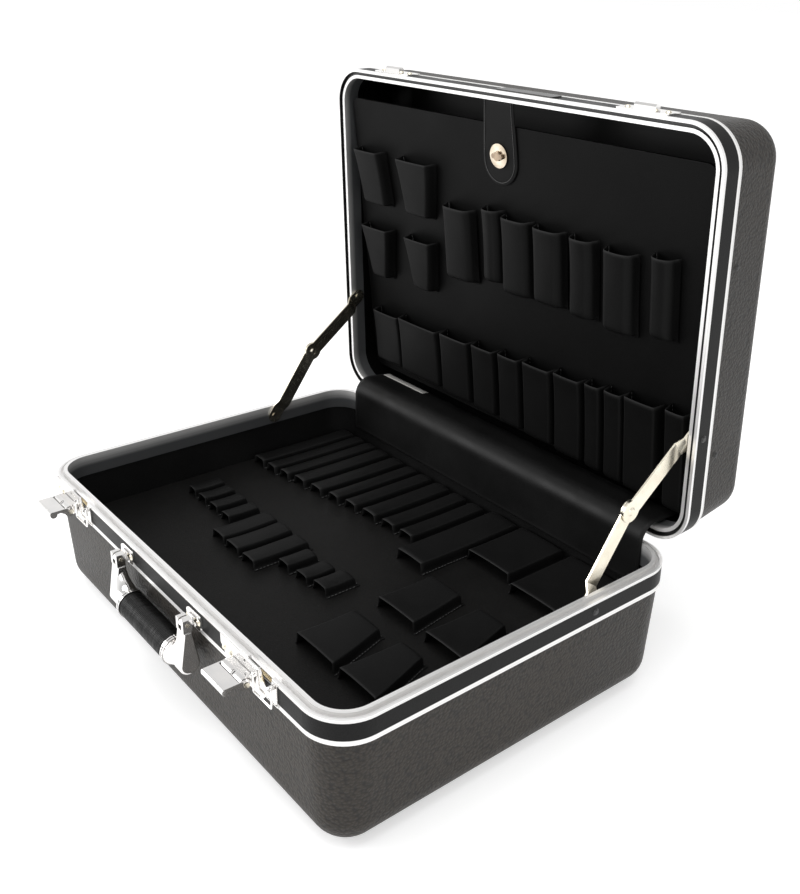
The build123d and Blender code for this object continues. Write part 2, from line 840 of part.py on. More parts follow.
with BuildPart() as handle_grip:
    with BuildSketch(Plane.YZ.offset(-grip_half_length)) as grip_section:
        with Locations((handle_y, grip_z)):
            Circle(grip_radius)
            Circle(rod_radius + pin_gap, mode=Mode.SUBTRACT)
    extrude(grip_section.sketch, amount=2 * grip_half_length)
finish("handle_grip", handle_grip)

with BuildPart() as handle_rod:
    with BuildSketch(Plane.YZ.offset(-grip_half_length)) as rod_section:
        with Locations((handle_y, grip_z)):
            Circle(rod_radius)
    extrude(rod_section.sketch, amount=2 * grip_half_length)
finish("handle_rod", handle_rod)

with BuildPart() as handle_pins:
    for side in (-1, 1):
        pin_spot = Location((side * handle_half_span, handle_y, handle_pivot_height), (0, 90, 0))
        with Locations(pin_spot):
            Cylinder(handle_pin_radius, arm_width + 2 * handle_pin_stand)
finish("handle_pins", handle_pins)

# Latches
lever_axis_y = front_y - lever_out
lever_axis_z = parting_height - lever_down
bail_axis_y = front_y - bail_out
bail_axis_z = parting_height - bail_down


def latch_plate(ref):
    """The fixed plate with its lock housing, opening, bail lugs and spring tab."""
    face = Plane(origin=(ref, front_y, parting_height), x_dir=(1, 0, 0), z_dir=(0, -1, 0))
    with BuildPart() as plate:
        with BuildSketch(face) as outline:
            with BuildLine():
                Polyline(
                    (-latch_plate_left, -latch_plate_top),
                    (-latch_plate_left, -plate_slant_top),
                    (-latch_plate_left + plate_slant, -latch_plate_bottom),
                    (-skirt_left, -latch_plate_bottom),
                    (-skirt_left + skirt_slant, -skirt_bottom),
                    (skirt_right - skirt_slant, -skirt_bottom),
                    (skirt_right, -latch_plate_bottom),
                    (latch_plate_right, -latch_plate_bottom),
                    (latch_plate_right, -latch_plate_top),
                    close=True,
                )
            make_face()
            with BuildLine():
                ThreePointArc(
                    (-opening_left, 0),
                    (opening_bend[0], -opening_bend[1]),
                    (opening_right, -opening_bottom),
                )
                Polyline((opening_right, -opening_bottom), (opening_right, 0), (-opening_left, 0))
            make_face(mode=Mode.SUBTRACT)
            with Locations((-keyhole_place, -keyhole_depth)):
                Circle(keyhole_radius, mode=Mode.SUBTRACT)
        extrude(outline.sketch, amount=plate_thickness)
        with BuildSketch(Plane.YZ.offset(ref - housing_left)) as housing:
            with Locations((lever_axis_y, lever_axis_z)):
                Circle(housing_radius)
            with Locations(((lever_axis_y + front_y - plate_thickness) / 2, lever_axis_z)):
                Rectangle(lever_out - plate_thickness, 2 * housing_radius)
        extrude(housing.sketch, amount=housing_left - housing_right)
        for end in (-1, 1):
            lug_x = ref + bail_offset + end * lug_half_spacing
            with BuildSketch(Plane.YZ.offset(lug_x - lug_thickness / 2)) as bail_lug:
                with Locations(((bail_axis_y + front_y - plate_thickness / 2) / 2, bail_axis_z)):
                    Rectangle(bail_out - plate_thickness / 2, 2 * lug_radius)
                with Locations((bail_axis_y, bail_axis_z)):
                    Circle(lug_radius)
            extrude(bail_lug.sketch, amount=lug_thickness)
        with BuildSketch(face) as spring_tab:
            with Locations((tab_place, -(tab_top + tab_bottom) / 2)):
                Rectangle(tab_thickness, tab_bottom - tab_top)
        extrude(spring_tab.sketch, amount=-tab_depth)
        with Locations(Location((ref, bail_axis_y, bail_axis_z), (0, 90, 0))):
            Cylinder(bail_wire_radius + pin_gap, latch_plate_left, mode=Mode.SUBTRACT)
        with Locations(Location((ref - housing_middle, lever_axis_y, lever_axis_z), (0, 90, 0))):
            Cylinder(lever_pin_radius + pin_gap, latch_plate_left, mode=Mode.SUBTRACT)
        with Locations(plug_site(ref)):
            Cylinder(
                plug_radius + pin_gap,
                2 * housing_radius,
                align=(Align.CENTER, Align.CENTER, Align.MIN),
                mode=Mode.SUBTRACT,
            )
        drill(plate_sites, rivet_radius, outer_lip)
    return plate


def plug_site(ref):
    """The seat of the lock plug in its housing, facing up and out."""
    lean = radians(plug_tilt)
    y = lever_axis_y - plug_seat * sin(lean)
    z = lever_axis_z + plug_seat * cos(lean)
    return Location((ref - plug_place, y, z), (plug_tilt, 0, 0))


def latch_lever(ref):
    """The lift-up flap with a rounded lip and two cheeks on the lever pin."""
    left = ref - housing_left - running_gap - cheek_thickness
    right = ref - housing_right + running_gap + cheek_thickness
    root = lever_axis_y - housing_radius - pin_gap
    tip = lever_axis_y - lever_reach
    top = lever_axis_z + lever_top
    under = top - lever_thickness
    inside = lever_round - lever_thickness
    with BuildPart() as lever:
        with BuildSketch(Plane.YZ.offset(left)) as flap:
            with BuildLine():
                Line((root, top), (tip + lever_round, top))
                RadiusArc((tip + lever_round, top), (tip, top - lever_round), -lever_round)
                Polyline(
                    (tip, top - lever_round),
                    (tip, top - lever_lip),
                    (tip + lever_thickness, top - lever_lip),
                    (tip + lever_thickness, top - lever_round),
                )
                RadiusArc(
                    (tip + lever_thickness, top - lever_round), (tip + lever_round, under), inside
                )
                Polyline((tip + lever_round, under), (root, under), (root, top))
            make_face()
        extrude(flap.sketch, amount=right - left)
        for start in (left, right - cheek_thickness):
            with BuildSketch(Plane.YZ.offset(start)) as cheek:
                with Locations((lever_axis_y, lever_axis_z)):
                    Circle(lever_hub_radius)
                bulge_y = lever_axis_y - cheek_bulge_place
                bulge_z = top - cheek_bulge_radius
                with Locations((bulge_y, bulge_z)):
                    Circle(cheek_bulge_radius)
                with BuildLine():
                    Polyline(
                        (lever_axis_y, top),
                        (bulge_y, top),
                        (bulge_y, bulge_z),
                        (lever_axis_y - cheek_waist[0], lever_axis_z + cheek_waist[1]),
                        (lever_axis_y, lever_axis_z - lever_hub_radius),
                        close=True,
                    )
                make_face()
            extrude(cheek.sketch, amount=cheek_thickness)
        with Locations(Location((ref - housing_middle, lever_axis_y, lever_axis_z), (0, 90, 0))):
            Cylinder(lever_pin_radius + pin_gap, latch_plate_left, mode=Mode.SUBTRACT)
    return lever


def latch_bail(ref):
    """The wire loop that hangs in front and swings up over the strike."""
    middle = ref + bail_offset
    low = bail_axis_z - bail_length
    with BuildPart() as bail:
        with BuildLine() as wire:
            FilletPolyline(
                (middle - lug_half_spacing + bail_corner, bail_axis_y, bail_axis_z),
                (middle - bail_half_width, bail_axis_y, bail_axis_z),
                (middle - bail_half_width, bail_axis_y, low),
                (middle + bail_half_width, bail_axis_y, low),
                (middle + bail_half_width, bail_axis_y, bail_axis_z),
                (middle + lug_half_spacing - bail_corner, bail_axis_y, bail_axis_z),
                radius=bail_corner,
            )
        with BuildSketch(Plane(wire.wire() @ 0, z_dir=wire.wire() % 0)):
            Circle(bail_wire_radius)
        sweep()
    return bail


def lock_plug(ref):
    """The lock's plug with its key slot."""
    with BuildPart() as plug:
        with Locations(plug_site(ref)):
            Cylinder(
                plug_radius, plug_face - plug_seat, align=(Align.CENTER, Align.CENTER, Align.MIN)
            )
            with Locations((0, 0, plug_face - plug_seat)):
                Box(key_slot_width, key_slot_length, 2 * key_slot_depth, mode=Mode.SUBTRACT)
    return plug


for side_name, ref in (("left", -latch_place), ("right", latch_place)):
    finish(f"latch_plate_{side_name}", latch_plate(ref))
    finish(f"latch_lever_{side_name}", latch_lever(ref))
    finish(f"latch_bail_{side_name}", latch_bail(ref))
    finish(f"lock_plug_{side_name}", lock_plug(ref))

lever_pin_end = running_gap + cheek_thickness + lever_pin_stand
lever_pin_length = housing_left - housing_right + 2 * lever_pin_end
with BuildPart() as lever_pins:
    for ref in latch_refs:
        with Locations(Location((ref - housing_middle, lever_axis_y, lever_axis_z), (0, 90, 0))):
            Cylinder(lever_pin_radius, lever_pin_length)
            for end in (-1, 1):
                with Locations((0, 0, end * (lever_pin_length + lever_pin_stand) / 2)):
                    Cylinder(lever_pin_radius + lever_pin_head, lever_pin_stand)
finish("lever_pins", lever_pins)

spring_start = tab_place + tab_thickness / 2 + running_gap
spring_length = window_right - running_gap - spring_start
with BuildPart() as latch_springs:
    for ref in latch_refs:
        spring_spot = Location(
            (ref + spring_start, front_y + spring_in, parting_height - spring_down), (0, 90, 0)
        )
        with Locations(spring_spot):
            Cylinder(
                spring_radius, spring_length, align=(Align.CENTER, Align.CENTER, Align.MIN)
            )
finish("latch_springs", latch_springs)

# Strikes on the lid, which the bails hook over
strike_face = on_lid(Plane.XZ.offset(-front_y))
with BuildPart() as lid_strikes:
    for place in strike_places:
        with BuildSketch(strike_face) as strike:
            with Locations((place, parting_height + strike_middle)):
                RectangleRounded(strike_width, strike_top - strike_bottom, plate_corner)
        extrude(strike.sketch, amount=plate_thickness)
        hump_x = place - strike_offset + bail_offset - hump_width / 2
        with BuildSketch(on_lid(Plane.YZ.offset(hump_x))) as hump:
            with BuildLine():
                Polyline(
                    (front_y - plate_thickness / 2, parting_height + strike_bottom),
                    (front_y - hump_out + hump_chamfer, parting_height + strike_bottom),
                    (front_y - hump_out, parting_height + strike_bottom + hump_chamfer),
                    (front_y - hump_out, parting_height + hump_top - hump_chamfer),
                    (front_y - hump_out + hump_chamfer, parting_height + hump_top),
                    (front_y - plate_thickness / 2, parting_height + hump_top),
                    close=True,
                )
            make_face()
        extrude(hump.sketch, amount=hump_width)
    drill(strike_sites, rivet_radius, outer_lip)
finish("lid_strikes", lid_strikes)

with BuildPart() as name_plate:
    with BuildSketch(strike_face) as plate_outline:
        with Locations((name_plate_place, parting_height + band_middle)):
            RectangleRounded(name_plate_width, name_plate_height, plate_corner)
    extrude(plate_outline.sketch, amount=name_plate_thickness)
finish("name_plate", name_plate)

# Tongue that ties the lid board to the front wall, with its turn lock
tongue_root = (lid_board_front - inner_lip_end - running_gap) / cos(radians(lid_tilt))
with BuildPart() as lid_tongue:
    with BuildSketch(lid_board_face.offset(running_gap)) as tongue:
        with Locations((tongue_place, tongue_root)):
            Rectangle(
                tongue_width,
                tongue_end - tongue_width / 2 + tongue_shoulder,
                align=(Align.CENTER, Align.MAX),
            )
        end_middle = tongue_root - tongue_end + tongue_width / 2 - tongue_shoulder
        with Locations((tongue_place, end_middle)):
            Circle(tongue_width / 2)
        with Locations((tongue_place, tongue_root - turn_lock_spot)):
            Circle(turn_stud_radius + running_gap, mode=Mode.SUBTRACT)
    extrude(tongue.sketch, amount=tongue_thickness)
finish("lid_tongue", lid_tongue)

turn_seat = lid_board_face.offset(running_gap + tongue_thickness)
with BuildPart() as turn_lock_plate:
    with BuildSketch(turn_seat) as turn_plate:
        with Locations((tongue_place, tongue_root - turn_lock_spot)):
            Circle(turn_plate_radius)
            Circle(turn_stud_radius + running_gap, mode=Mode.SUBTRACT)
    extrude(turn_plate.sketch, amount=turn_plate_thickness)
finish("turn_lock_plate", turn_lock_plate)

turn_height = running_gap + tongue_thickness + turn_plate_thickness + running_gap
with BuildPart() as turn_lock_knob:
    with BuildSketch(lid_board_face) as stud:
        with Locations((tongue_place, tongue_root - turn_lock_spot)):
            Circle(turn_stud_radius)
    extrude(stud.sketch, amount=turn_height)
    with BuildSketch(lid_board_face.offset(turn_height)) as wing:
        with Locations((tongue_place, tongue_root - turn_lock_spot)):
            SlotOverall(turn_wing_length, turn_wing_width)
            Circle(turn_stud_radius)
    extrude(wing.sketch, amount=turn_wing_height)
finish("turn_lock_knob", turn_lock_knob)

# Feet on the hinge side, for standing the closed case upright
foot_place = side_x - foot_set_in


def feet(sites):
    with BuildPart() as group:
        with Locations(*sites):
            Cone(
                foot_radius,
                foot_tip_radius,
                foot_height,
                align=(Align.CENTER, Align.CENTER, Align.MIN),
            )
    return group


def wall_site(x, depth, draft, sign):
    """A seat on the drafted rear wall at a depth from the parting plane."""
    inset = body_inset + (depth - rim_height) * tan(radians(draft))
    place = (x, case_depth / 2 - inset, parting_height + sign * depth)
    return Location(place, (-90 + sign * draft, 0, 0))


base_feet = feet([wall_site(x, foot_depth, base_draft, -1) for x in (-foot_place, foot_place)])
finish("base_feet", base_feet)
lid_feet = feet(
    [lid_pose * wall_site(x, lid_foot_depth, lid_draft, 1) for x in (-foot_place, foot_place)]
)
finish("lid_feet", lid_feet)

# Hinge cover: a strip of lining that arches over the hinge gap inside
cover_width = case_width - 2 * cover_end_gap
cover_radius = hinge_offset + inner_lip_end + cover_bow
cover_low = board_height + cover_lift
cover_y = case_depth / 2 - inner_lip_end - running_gap - cover_thickness / 2
with BuildPart() as hinge_cover:
    with BuildSketch(Plane.YZ.offset(-cover_width / 2)) as cover_section:
        with BuildLine() as cover_line:
            rise = Line((cover_y, cover_low), (cover_y, parting_height + tongue_height))
            bow = JernArc(rise @ 1, rise % 1, cover_radius, -cover_turn)
            Line(bow @ 1, bow @ 1 + (bow % 1) * cover_run)
        trace(line_width=cover_thickness)
    extrude(cover_section.sketch, amount=cover_width)
finish("hinge_cover", hinge_cover)


# Pockets: stitched sleeves that stand on the boards and open at one end
def sleeves(board, pockets, height, scale_x, scale_y):
    """Each pocket is its mouth's left and right, its mouth's y, its end's left, right and y."""
    with BuildPart() as group:
        with BuildSketch(board) as outlines:
            for left, right, mouth, end_left, end_right, end in pockets:
                with BuildLine():
                    Polyline(
                        (left * scale_x, mouth * scale_y),
                        (right * scale_x, mouth * scale_y),
                        (end_right * scale_x, end * scale_y),
                        (end_left * scale_x, end * scale_y),
                        close=True,
                    )
                make_face()
        extrude(outlines.sketch, amount=height)
        outward = Axis(board.origin, board.z_dir)
        top_edges = group.edges().group_by(outward)[-1].filter_by(Axis.X, reverse=True)
        fillet(top_edges, pocket_edge)
        with BuildSketch(board) as hollows:
            for left, right, mouth, end_left, end_right, end in pockets:
                into = 1 if end > mouth else -1
                start = mouth * scale_y - into * mouth_over
                with BuildLine():
                    Polyline(
                        (left * scale_x + pocket_wall, start),
                        (right * scale_x - pocket_wall, start),
                        (end_right * scale_x - pocket_wall, end * scale_y - into * pocket_wall),
                        (end_left * scale_x + pocket_wall, end * scale_y - into * pocket_wall),
                        close=True,
                    )
                make_face()
        extrude(hollows.sketch, amount=height - pocket_wall, mode=Mode.SUBTRACT)
    return group


def straight(left, right, mouth, end):
    """A pocket whose sides are parallel."""
    return (left, right, mouth, left, right, end)


def base_pockets(name, pockets, height):
    finish(name, sleeves(board_face, pockets, height, spread_x, spread_y))


def lid_spot(y):
    """A drawn y as a distance along the lid board from its front edge."""
    return -(y - drawn_lid_front) * lid_board_length / drawn_lid_depth


def lid_pockets(name, pockets):
    placed = [
        (left, right, lid_spot(mouth), end_left, end_right, lid_spot(end))
        for left, right, mouth, end_left, end_right, end in pockets
    ]
    finish(name, sleeves(lid_board_face, placed, lid_pocket_height, lid_spread_x, 1.0))


base_pockets(
    "driver_loops_left",
    [
        straight(-212, -195, 38, 152),
        straight(-189, -175, 39, 152),
        straight(-169, -155, 42, 152),
        straight(-149, -132, 46, 152),
    ],
    loop_height,
)
base_pockets(
    "driver_loops_middle",
    [
        straight(-124, -107, 49, 152),
        straight(-99, -84, 53, 152),
        straight(-77, -61, 57, 152),
    ],
    loop_height,
)
base_pockets(
    "driver_loops_right",
    [
        straight(-53, -34, 60, 152),
        straight(-26, -9, 62.5, 152),
        straight(-1, 16, 64, 152),
    ],
    loop_height,
)
base_pockets(
    "wide_pockets_rear",
    [
        straight(27, 60, 40, 154),
        straight(66, 117, 88, 155),
        straight(128, 182, 80, 155),
    ],
    pocket_height,
)
base_pockets(
    "wide_pockets_front",
    [
        (77, 123, -18, 79, 115, 38),
        (137, 182, -18, 139, 168, 38),
        (78, 127, -96, 80, 112, -42),
        (133, 178, -95, 136, 160, -38),
    ],
    pocket_height,
)
base_pockets(
    "small_loops_left",
    [
        straight(-191, -178.5, -47, -15),
        straight(-172, -158, -47, -15),
        straight(-150, -136, -47, -15),
        straight(-127, -113, -47, -15),
    ],
    loop_height,
)
base_pockets(
    "small_loops_middle",
    [
        straight(-103, -84, -69, -13),
        straight(-79, -59, -69, -13),
        straight(-51, -32, -69, -13),
    ],
    loop_height,
)
base_pockets(
    "small_loops_right",
    [
        straight(-24, -9, -49, -19),
        straight(0.5, 16.5, -47, -18),
        straight(22, 40, -44, -14),
    ],
    loop_height,
)
lid_pockets(
    "lid_wedge_pockets",
    [
        (-206, -171, -91, -195, -164, -40),
        (-139, -94, -91, -128, -99, -40),
        (-205, -165, -14, -192, -172, 37),
        (-135, -98, -15, -124, -103, 34),
    ],
)
lid_pockets(
    "lid_tubes_left",
    [
        straight(-75, -40, -58, 10),
        straight(-22, -2, -65, 1),
        straight(3, 35, -62, 6),
        straight(42, 73, -61, 5),
    ],
)
lid_pockets(
    "lid_tubes_right",
    [
        straight(84, 108, -61, 6),
        straight(121, 150, -59, 8),
        straight(169, 189, -64, 1),
    ],
)
lid_pockets(
    "lid_low_pockets_left",
    [
        straight(-198, -159, 77, 133),
        straight(-155, -97, 75, 135),
        straight(-89, -50, 73, 137),
        straight(-42, -14, 71, 138),
    ],
)
lid_pockets(
    "lid_low_pockets_middle",
    [
        straight(-5, 20, 69, 140),
        straight(28, 60, 67, 141),
        straight(67, 96, 65, 143),
        straight(104, 119, 63, 144),
    ],
)
lid_pockets(
    "lid_low_pockets_right",
    [
        straight(126, 143, 62, 145),
        straight(148, 179, 60, 146),
        straight(190, 208, 57, 147),
    ],
)
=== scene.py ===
import bpy
import bmesh
import json
import math
import random
from mathutils import Matrix, Vector


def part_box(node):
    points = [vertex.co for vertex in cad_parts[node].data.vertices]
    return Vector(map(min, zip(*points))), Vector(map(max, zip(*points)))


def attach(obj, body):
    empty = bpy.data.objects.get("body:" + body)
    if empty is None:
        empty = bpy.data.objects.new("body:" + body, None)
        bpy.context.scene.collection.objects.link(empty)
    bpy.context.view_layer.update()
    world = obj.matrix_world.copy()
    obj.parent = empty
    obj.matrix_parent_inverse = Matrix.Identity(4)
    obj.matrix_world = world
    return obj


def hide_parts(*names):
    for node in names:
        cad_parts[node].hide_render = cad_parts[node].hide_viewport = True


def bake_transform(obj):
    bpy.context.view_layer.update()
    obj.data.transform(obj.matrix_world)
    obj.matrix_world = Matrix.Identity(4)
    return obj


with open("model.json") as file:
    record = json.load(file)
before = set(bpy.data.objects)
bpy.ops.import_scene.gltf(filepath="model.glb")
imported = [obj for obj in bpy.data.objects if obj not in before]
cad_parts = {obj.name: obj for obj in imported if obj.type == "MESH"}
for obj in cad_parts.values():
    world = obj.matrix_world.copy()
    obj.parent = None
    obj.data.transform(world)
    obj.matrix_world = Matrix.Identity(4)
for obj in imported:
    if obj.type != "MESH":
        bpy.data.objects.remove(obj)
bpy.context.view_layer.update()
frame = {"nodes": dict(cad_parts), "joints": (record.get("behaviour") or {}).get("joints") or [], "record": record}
scene = bpy.context.scene
random.seed(11)
print("frame loaded")


# places taken from the frame
lidHinge = next(j for j in frame["joints"] if j["name"] == "lid_hinge")
hingePoint = Vector(lidHinge["pos_m"])
lidAngle = math.radians(lidHinge["range_deg"][1])
turnAboutHinge = Matrix.Rotation(-lidAngle, 4, "X")
lidPose = Matrix.Translation(hingePoint) @ turnAboutHinge @ Matrix.Translation(-hingePoint)
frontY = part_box("base_rim")[0].y
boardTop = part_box("base_board")[1].z
partingZ = hingePoint.z

lidBoard = {"slope": 0.077, "front": 0.029, "depth": 0.009}  # how the lid's board lies in the closed lid
faceOut = Vector((0, lidBoard["slope"], -1)).normalized()
boardAcross = Vector((1, 0, 0))
boardUp = faceOut.cross(boardAcross)
boardOrigin = Vector((0, frontY + lidBoard["front"], partingZ + lidBoard["depth"]))
boardTurn = Matrix((boardAcross, boardUp, faceOut)).transposed().to_4x4()
lidBoardPose = lidPose @ Matrix.Translation(boardOrigin) @ boardTurn
baseBoardPose = Matrix.Translation((0, 0, boardTop))


# camera, as the photo was taken
camera = {
    "place": (0.6502, -0.4454, 0.5447),
    "forward": (-0.70338, 0.60075, -0.37995),
    "up": (-0.3074, 0.2249, 0.9246),
    "focal": 1042.84,  # in pixels of the photo
    "centre": (442.44, 392.77),
    "photo": (800, 894),
    "sensor": 36.0,
}
longSide = max(camera["photo"])
cameraData = bpy.data.cameras.new("photoCamera")
cameraData.sensor_width = camera["sensor"]
cameraData.lens = camera["focal"] * camera["sensor"] / longSide
cameraData.shift_x = (camera["photo"][0] / 2 - camera["centre"][0]) / longSide
cameraData.shift_y = (camera["centre"][1] - camera["photo"][1] / 2) / longSide
cameraObject = bpy.data.objects.new("photoCamera", cameraData)
scene.collection.objects.link(cameraObject)
lookBack = -Vector(camera["forward"]).normalized()
lookRight = Vector(camera["up"]).cross(lookBack).normalized()
lookUp = lookBack.cross(lookRight)
cameraTurn = Matrix((lookRight, lookUp, lookBack)).transposed().to_4x4()
cameraObject.matrix_world = Matrix.Translation(camera["place"]) @ cameraTurn
scene.camera = cameraObject
print("camera placed")


# helpers for nodes
def fill(tree, socket, value):
    if isinstance(value, bpy.types.NodeSocket):
        tree.links.new(value, socket)
    else:
        socket.default_value = value


def addNode(tree, kind, inputs=None, **settings):
    node = tree.nodes.new(kind)
    for key, value in settings.items():
        setattr(node, key, value)
    for key, value in (inputs or {}).items():
        fill(tree, node.inputs[key], value)
    return node


def mathNode(tree, operation, first, second=0.0, clamp=False):
    inputs = {0: first, 1: second}
    return addNode(tree, "ShaderNodeMath", inputs, operation=operation, use_clamp=clamp).outputs[0]


def times(tree, first, second, clamp=False):
    return mathNode(tree, "MULTIPLY", first, second, clamp)


def vectorNode(tree, operation, first, second):
    return addNode(tree, "ShaderNodeVectorMath", {0: first, 1: second}, operation=operation).outputs


def coordinate(tree, place, axis):
    return addNode(tree, "ShaderNodeSeparateXYZ", {0: place}).outputs[axis]


def noiseNode(tree, place, scale, detail):
    inputs = {"Vector": place, "Scale": scale, "Detail": detail}
    return addNode(tree, "ShaderNodeTexNoise", inputs).outputs


def lineNoise(tree, section, scale, detail):
    inputs = {"W": section, "Scale": scale, "Detail": detail}
    return addNode(tree, "ShaderNodeTexNoise", inputs, noise_dimensions="1D").outputs["Fac"]


def remap(tree, value, fromLow, fromHigh, toLow=0.0, toHigh=1.0):
    inputs = {"Value": value, "From Min": fromLow, "From Max": fromHigh, "To Min": toLow, "To Max": toHigh}
    return addNode(tree, "ShaderNodeMapRange", inputs).outputs["Result"]


def mixColour(tree, factor, first, second):
    node = addNode(tree, "ShaderNodeMix", data_type="RGBA")
    for socket, value in (("Factor_Float", factor), ("A_Color", first), ("B_Color", second)):
        fill(tree, next(s for s in node.inputs if s.identifier == socket), value)
    return next(s for s in node.outputs if s.identifier == "Result_Color")


def startGroup(name, inputs, outputs):
    tree = bpy.data.node_groups.new(name, "ShaderNodeTree")
    for socketName, kind, value in inputs:
        socket = tree.interface.new_socket(socketName, in_out="INPUT", socket_type=kind)
        if value is not None:
            socket.default_value = value
    for socketName in outputs:
        tree.interface.new_socket(socketName, in_out="OUTPUT", socket_type=floatSocket)
    return tree, tree.nodes.new("NodeGroupInput"), tree.nodes.new("NodeGroupOutput")


def grey(level, warm=0.0):
    return (level * (1 + warm), level, level * (1 - warm), 1.0)


floatSocket, vectorSocket = "NodeSocketFloat", "NodeSocketVector"


# shared effects: each dictionary holds what is the same wherever its group is used
edgeWear = {"flat": 0.995, "sharp": 0.82, "samples": 6, "patchScale": 90.0, "patches": (0.38, 0.62)}


def makeEdgeWear():
    inputs = [("Width", floatSocket, 0.0006), ("Amount", floatSocket, 1.0), ("Place", vectorSocket, None)]
    tree, entry, exitNode = startGroup("edgeWear", inputs, ["Mask"])
    bevel = addNode(tree, "ShaderNodeBevel", {"Radius": entry.outputs["Width"]}, samples=edgeWear["samples"])
    surface = addNode(tree, "ShaderNodeNewGeometry")
    facing = vectorNode(tree, "DOT_PRODUCT", bevel.outputs[0], surface.outputs["Normal"])
    edge = remap(tree, facing["Value"], edgeWear["flat"], edgeWear["sharp"])
    patch = noiseNode(tree, entry.outputs["Place"], edgeWear["patchScale"], 4.0)
    broken = remap(tree, patch["Fac"], *edgeWear["patches"])
    mask = times(tree, times(tree, edge, broken), entry.outputs["Amount"], clamp=True)
    tree.links.new(mask, exitNode.inputs["Mask"])
    return tree


pebbleGrain = {
    "warpScale": 300.0,
    "warpReach": (0.0009, 0.0009, 0.0009),
    "smoothness": 0.6,
    "fineScale": 2600.0,
    "fineHeight": 0.25,
    "crevices": (0.35, 0.75),
}


def makePebbleGrain():
    inputs = [("Scale", floatSocket, 900.0), ("Place", vectorSocket, None)]
    tree, entry, exitNode = startGroup("pebbleGrain", inputs, ["Height", "Crevice"])
    warp = noiseNode(tree, entry.outputs["Place"], pebbleGrain["warpScale"], 2.0)
    bent = vectorNode(tree, "MULTIPLY", warp["Color"], pebbleGrain["warpReach"])["Vector"]
    place = vectorNode(tree, "ADD", entry.outputs["Place"], bent)["Vector"]
    cellInputs = {"Vector": place, "Scale": entry.outputs["Scale"], "Smoothness": pebbleGrain["smoothness"]}
    cells = addNode(tree, "ShaderNodeTexVoronoi", cellInputs, feature="SMOOTH_F1")
    dome = mathNode(tree, "SUBTRACT", 1.0, cells.outputs["Distance"])
    fine = noiseNode(tree, place, pebbleGrain["fineScale"], 2.0)
    height = mathNode(tree, "ADD", dome, times(tree, fine["Fac"], pebbleGrain["fineHeight"]))
    crevice = remap(tree, cells.outputs["Distance"], *pebbleGrain["crevices"])
    tree.links.new(height, exitNode.inputs["Height"])
    tree.links.new(crevice, exitNode.inputs["Crevice"])
    return tree


toneDrift = {"broad": (0.3, 0.7), "speckScale": 700.0, "specks": (0.66, 0.74), "level": (0.3, 1.0)}


def makeToneDrift():
    inputs = [("Scale", floatSocket, 9.0), ("Place", vectorSocket, None)]
    tree, entry, exitNode = startGroup("toneDrift", inputs, ["Value", "Dust"])
    broad = noiseNode(tree, entry.outputs["Place"], entry.outputs["Scale"], 5.0)
    specks = noiseNode(tree, entry.outputs["Place"], toneDrift["speckScale"], 3.0)
    sparse = remap(tree, specks["Fac"], *toneDrift["specks"])
    surface = addNode(tree, "ShaderNodeNewGeometry")
    upward = remap(tree, coordinate(tree, surface.outputs["Normal"], "Z"), *toneDrift["level"])
    tree.links.new(remap(tree, broad["Fac"], *toneDrift["broad"]), exitNode.inputs["Value"])
    tree.links.new(times(tree, sparse, upward), exitNode.inputs["Dust"])
    return tree


drawnLines = {"slant": 1.37, "broadScale": 420.0, "streaks": (0.35, 0.65)}


def makeDrawnLines():
    # fine lines that run along a rim, by the distance in from the case's outline and the height
    inputs = [
        ("Half Width", floatSocket, 0.23),
        ("Half Depth", floatSocket, 0.166),
        ("Corner", floatSocket, 0.0335),
        ("Density", floatSocket, 2600.0),
        ("Place", vectorSocket, None),
    ]
    tree, entry, exitNode = startGroup("drawnLines", inputs, ["Height", "Streak", "Inward"])
    parts = addNode(tree, "ShaderNodeSeparateXYZ", {0: entry.outputs["Place"]})
    across = []
    for axis, half in (("X", "Half Width"), ("Y", "Half Depth")):
        size = mathNode(tree, "ABSOLUTE", parts.outputs[axis])
        room = mathNode(tree, "SUBTRACT", entry.outputs[half], entry.outputs["Corner"])
        across.append(mathNode(tree, "SUBTRACT", size, room))
    pastX, pastY = [mathNode(tree, "MAXIMUM", past, 0.0) for past in across]
    outside = addNode(tree, "ShaderNodeCombineXYZ", {0: pastX, 1: pastY, 2: 0.0}).outputs[0]
    roundPart = addNode(tree, "ShaderNodeVectorMath", {0: outside}, operation="LENGTH").outputs["Value"]
    flatPart = mathNode(tree, "MINIMUM", mathNode(tree, "MAXIMUM", across[0], across[1]), 0.0)
    inset = mathNode(tree, "ADD", roundPart, flatPart)
    section = mathNode(tree, "ADD", inset, times(tree, parts.outputs["Z"], drawnLines["slant"]))
    fine = lineNoise(tree, section, entry.outputs["Density"], 4.0)
    broad = lineNoise(tree, section, drawnLines["broadScale"], 2.0)
    inward = mathNode(tree, "SUBTRACT", entry.outputs["Corner"], inset)
    tree.links.new(fine, exitNode.inputs["Height"])
    tree.links.new(remap(tree, broad, *drawnLines["streaks"]), exitNode.inputs["Streak"])
    tree.links.new(inward, exitNode.inputs["Inward"])
    return tree


scratches = {
    "turns": (0.4, 1.5, 2.5),
    "axis": (0.3, 1.0, 0.4),
    "stretch": (1.0, 30.0, 30.0),
    "hairs": (0.70, 0.76),
}


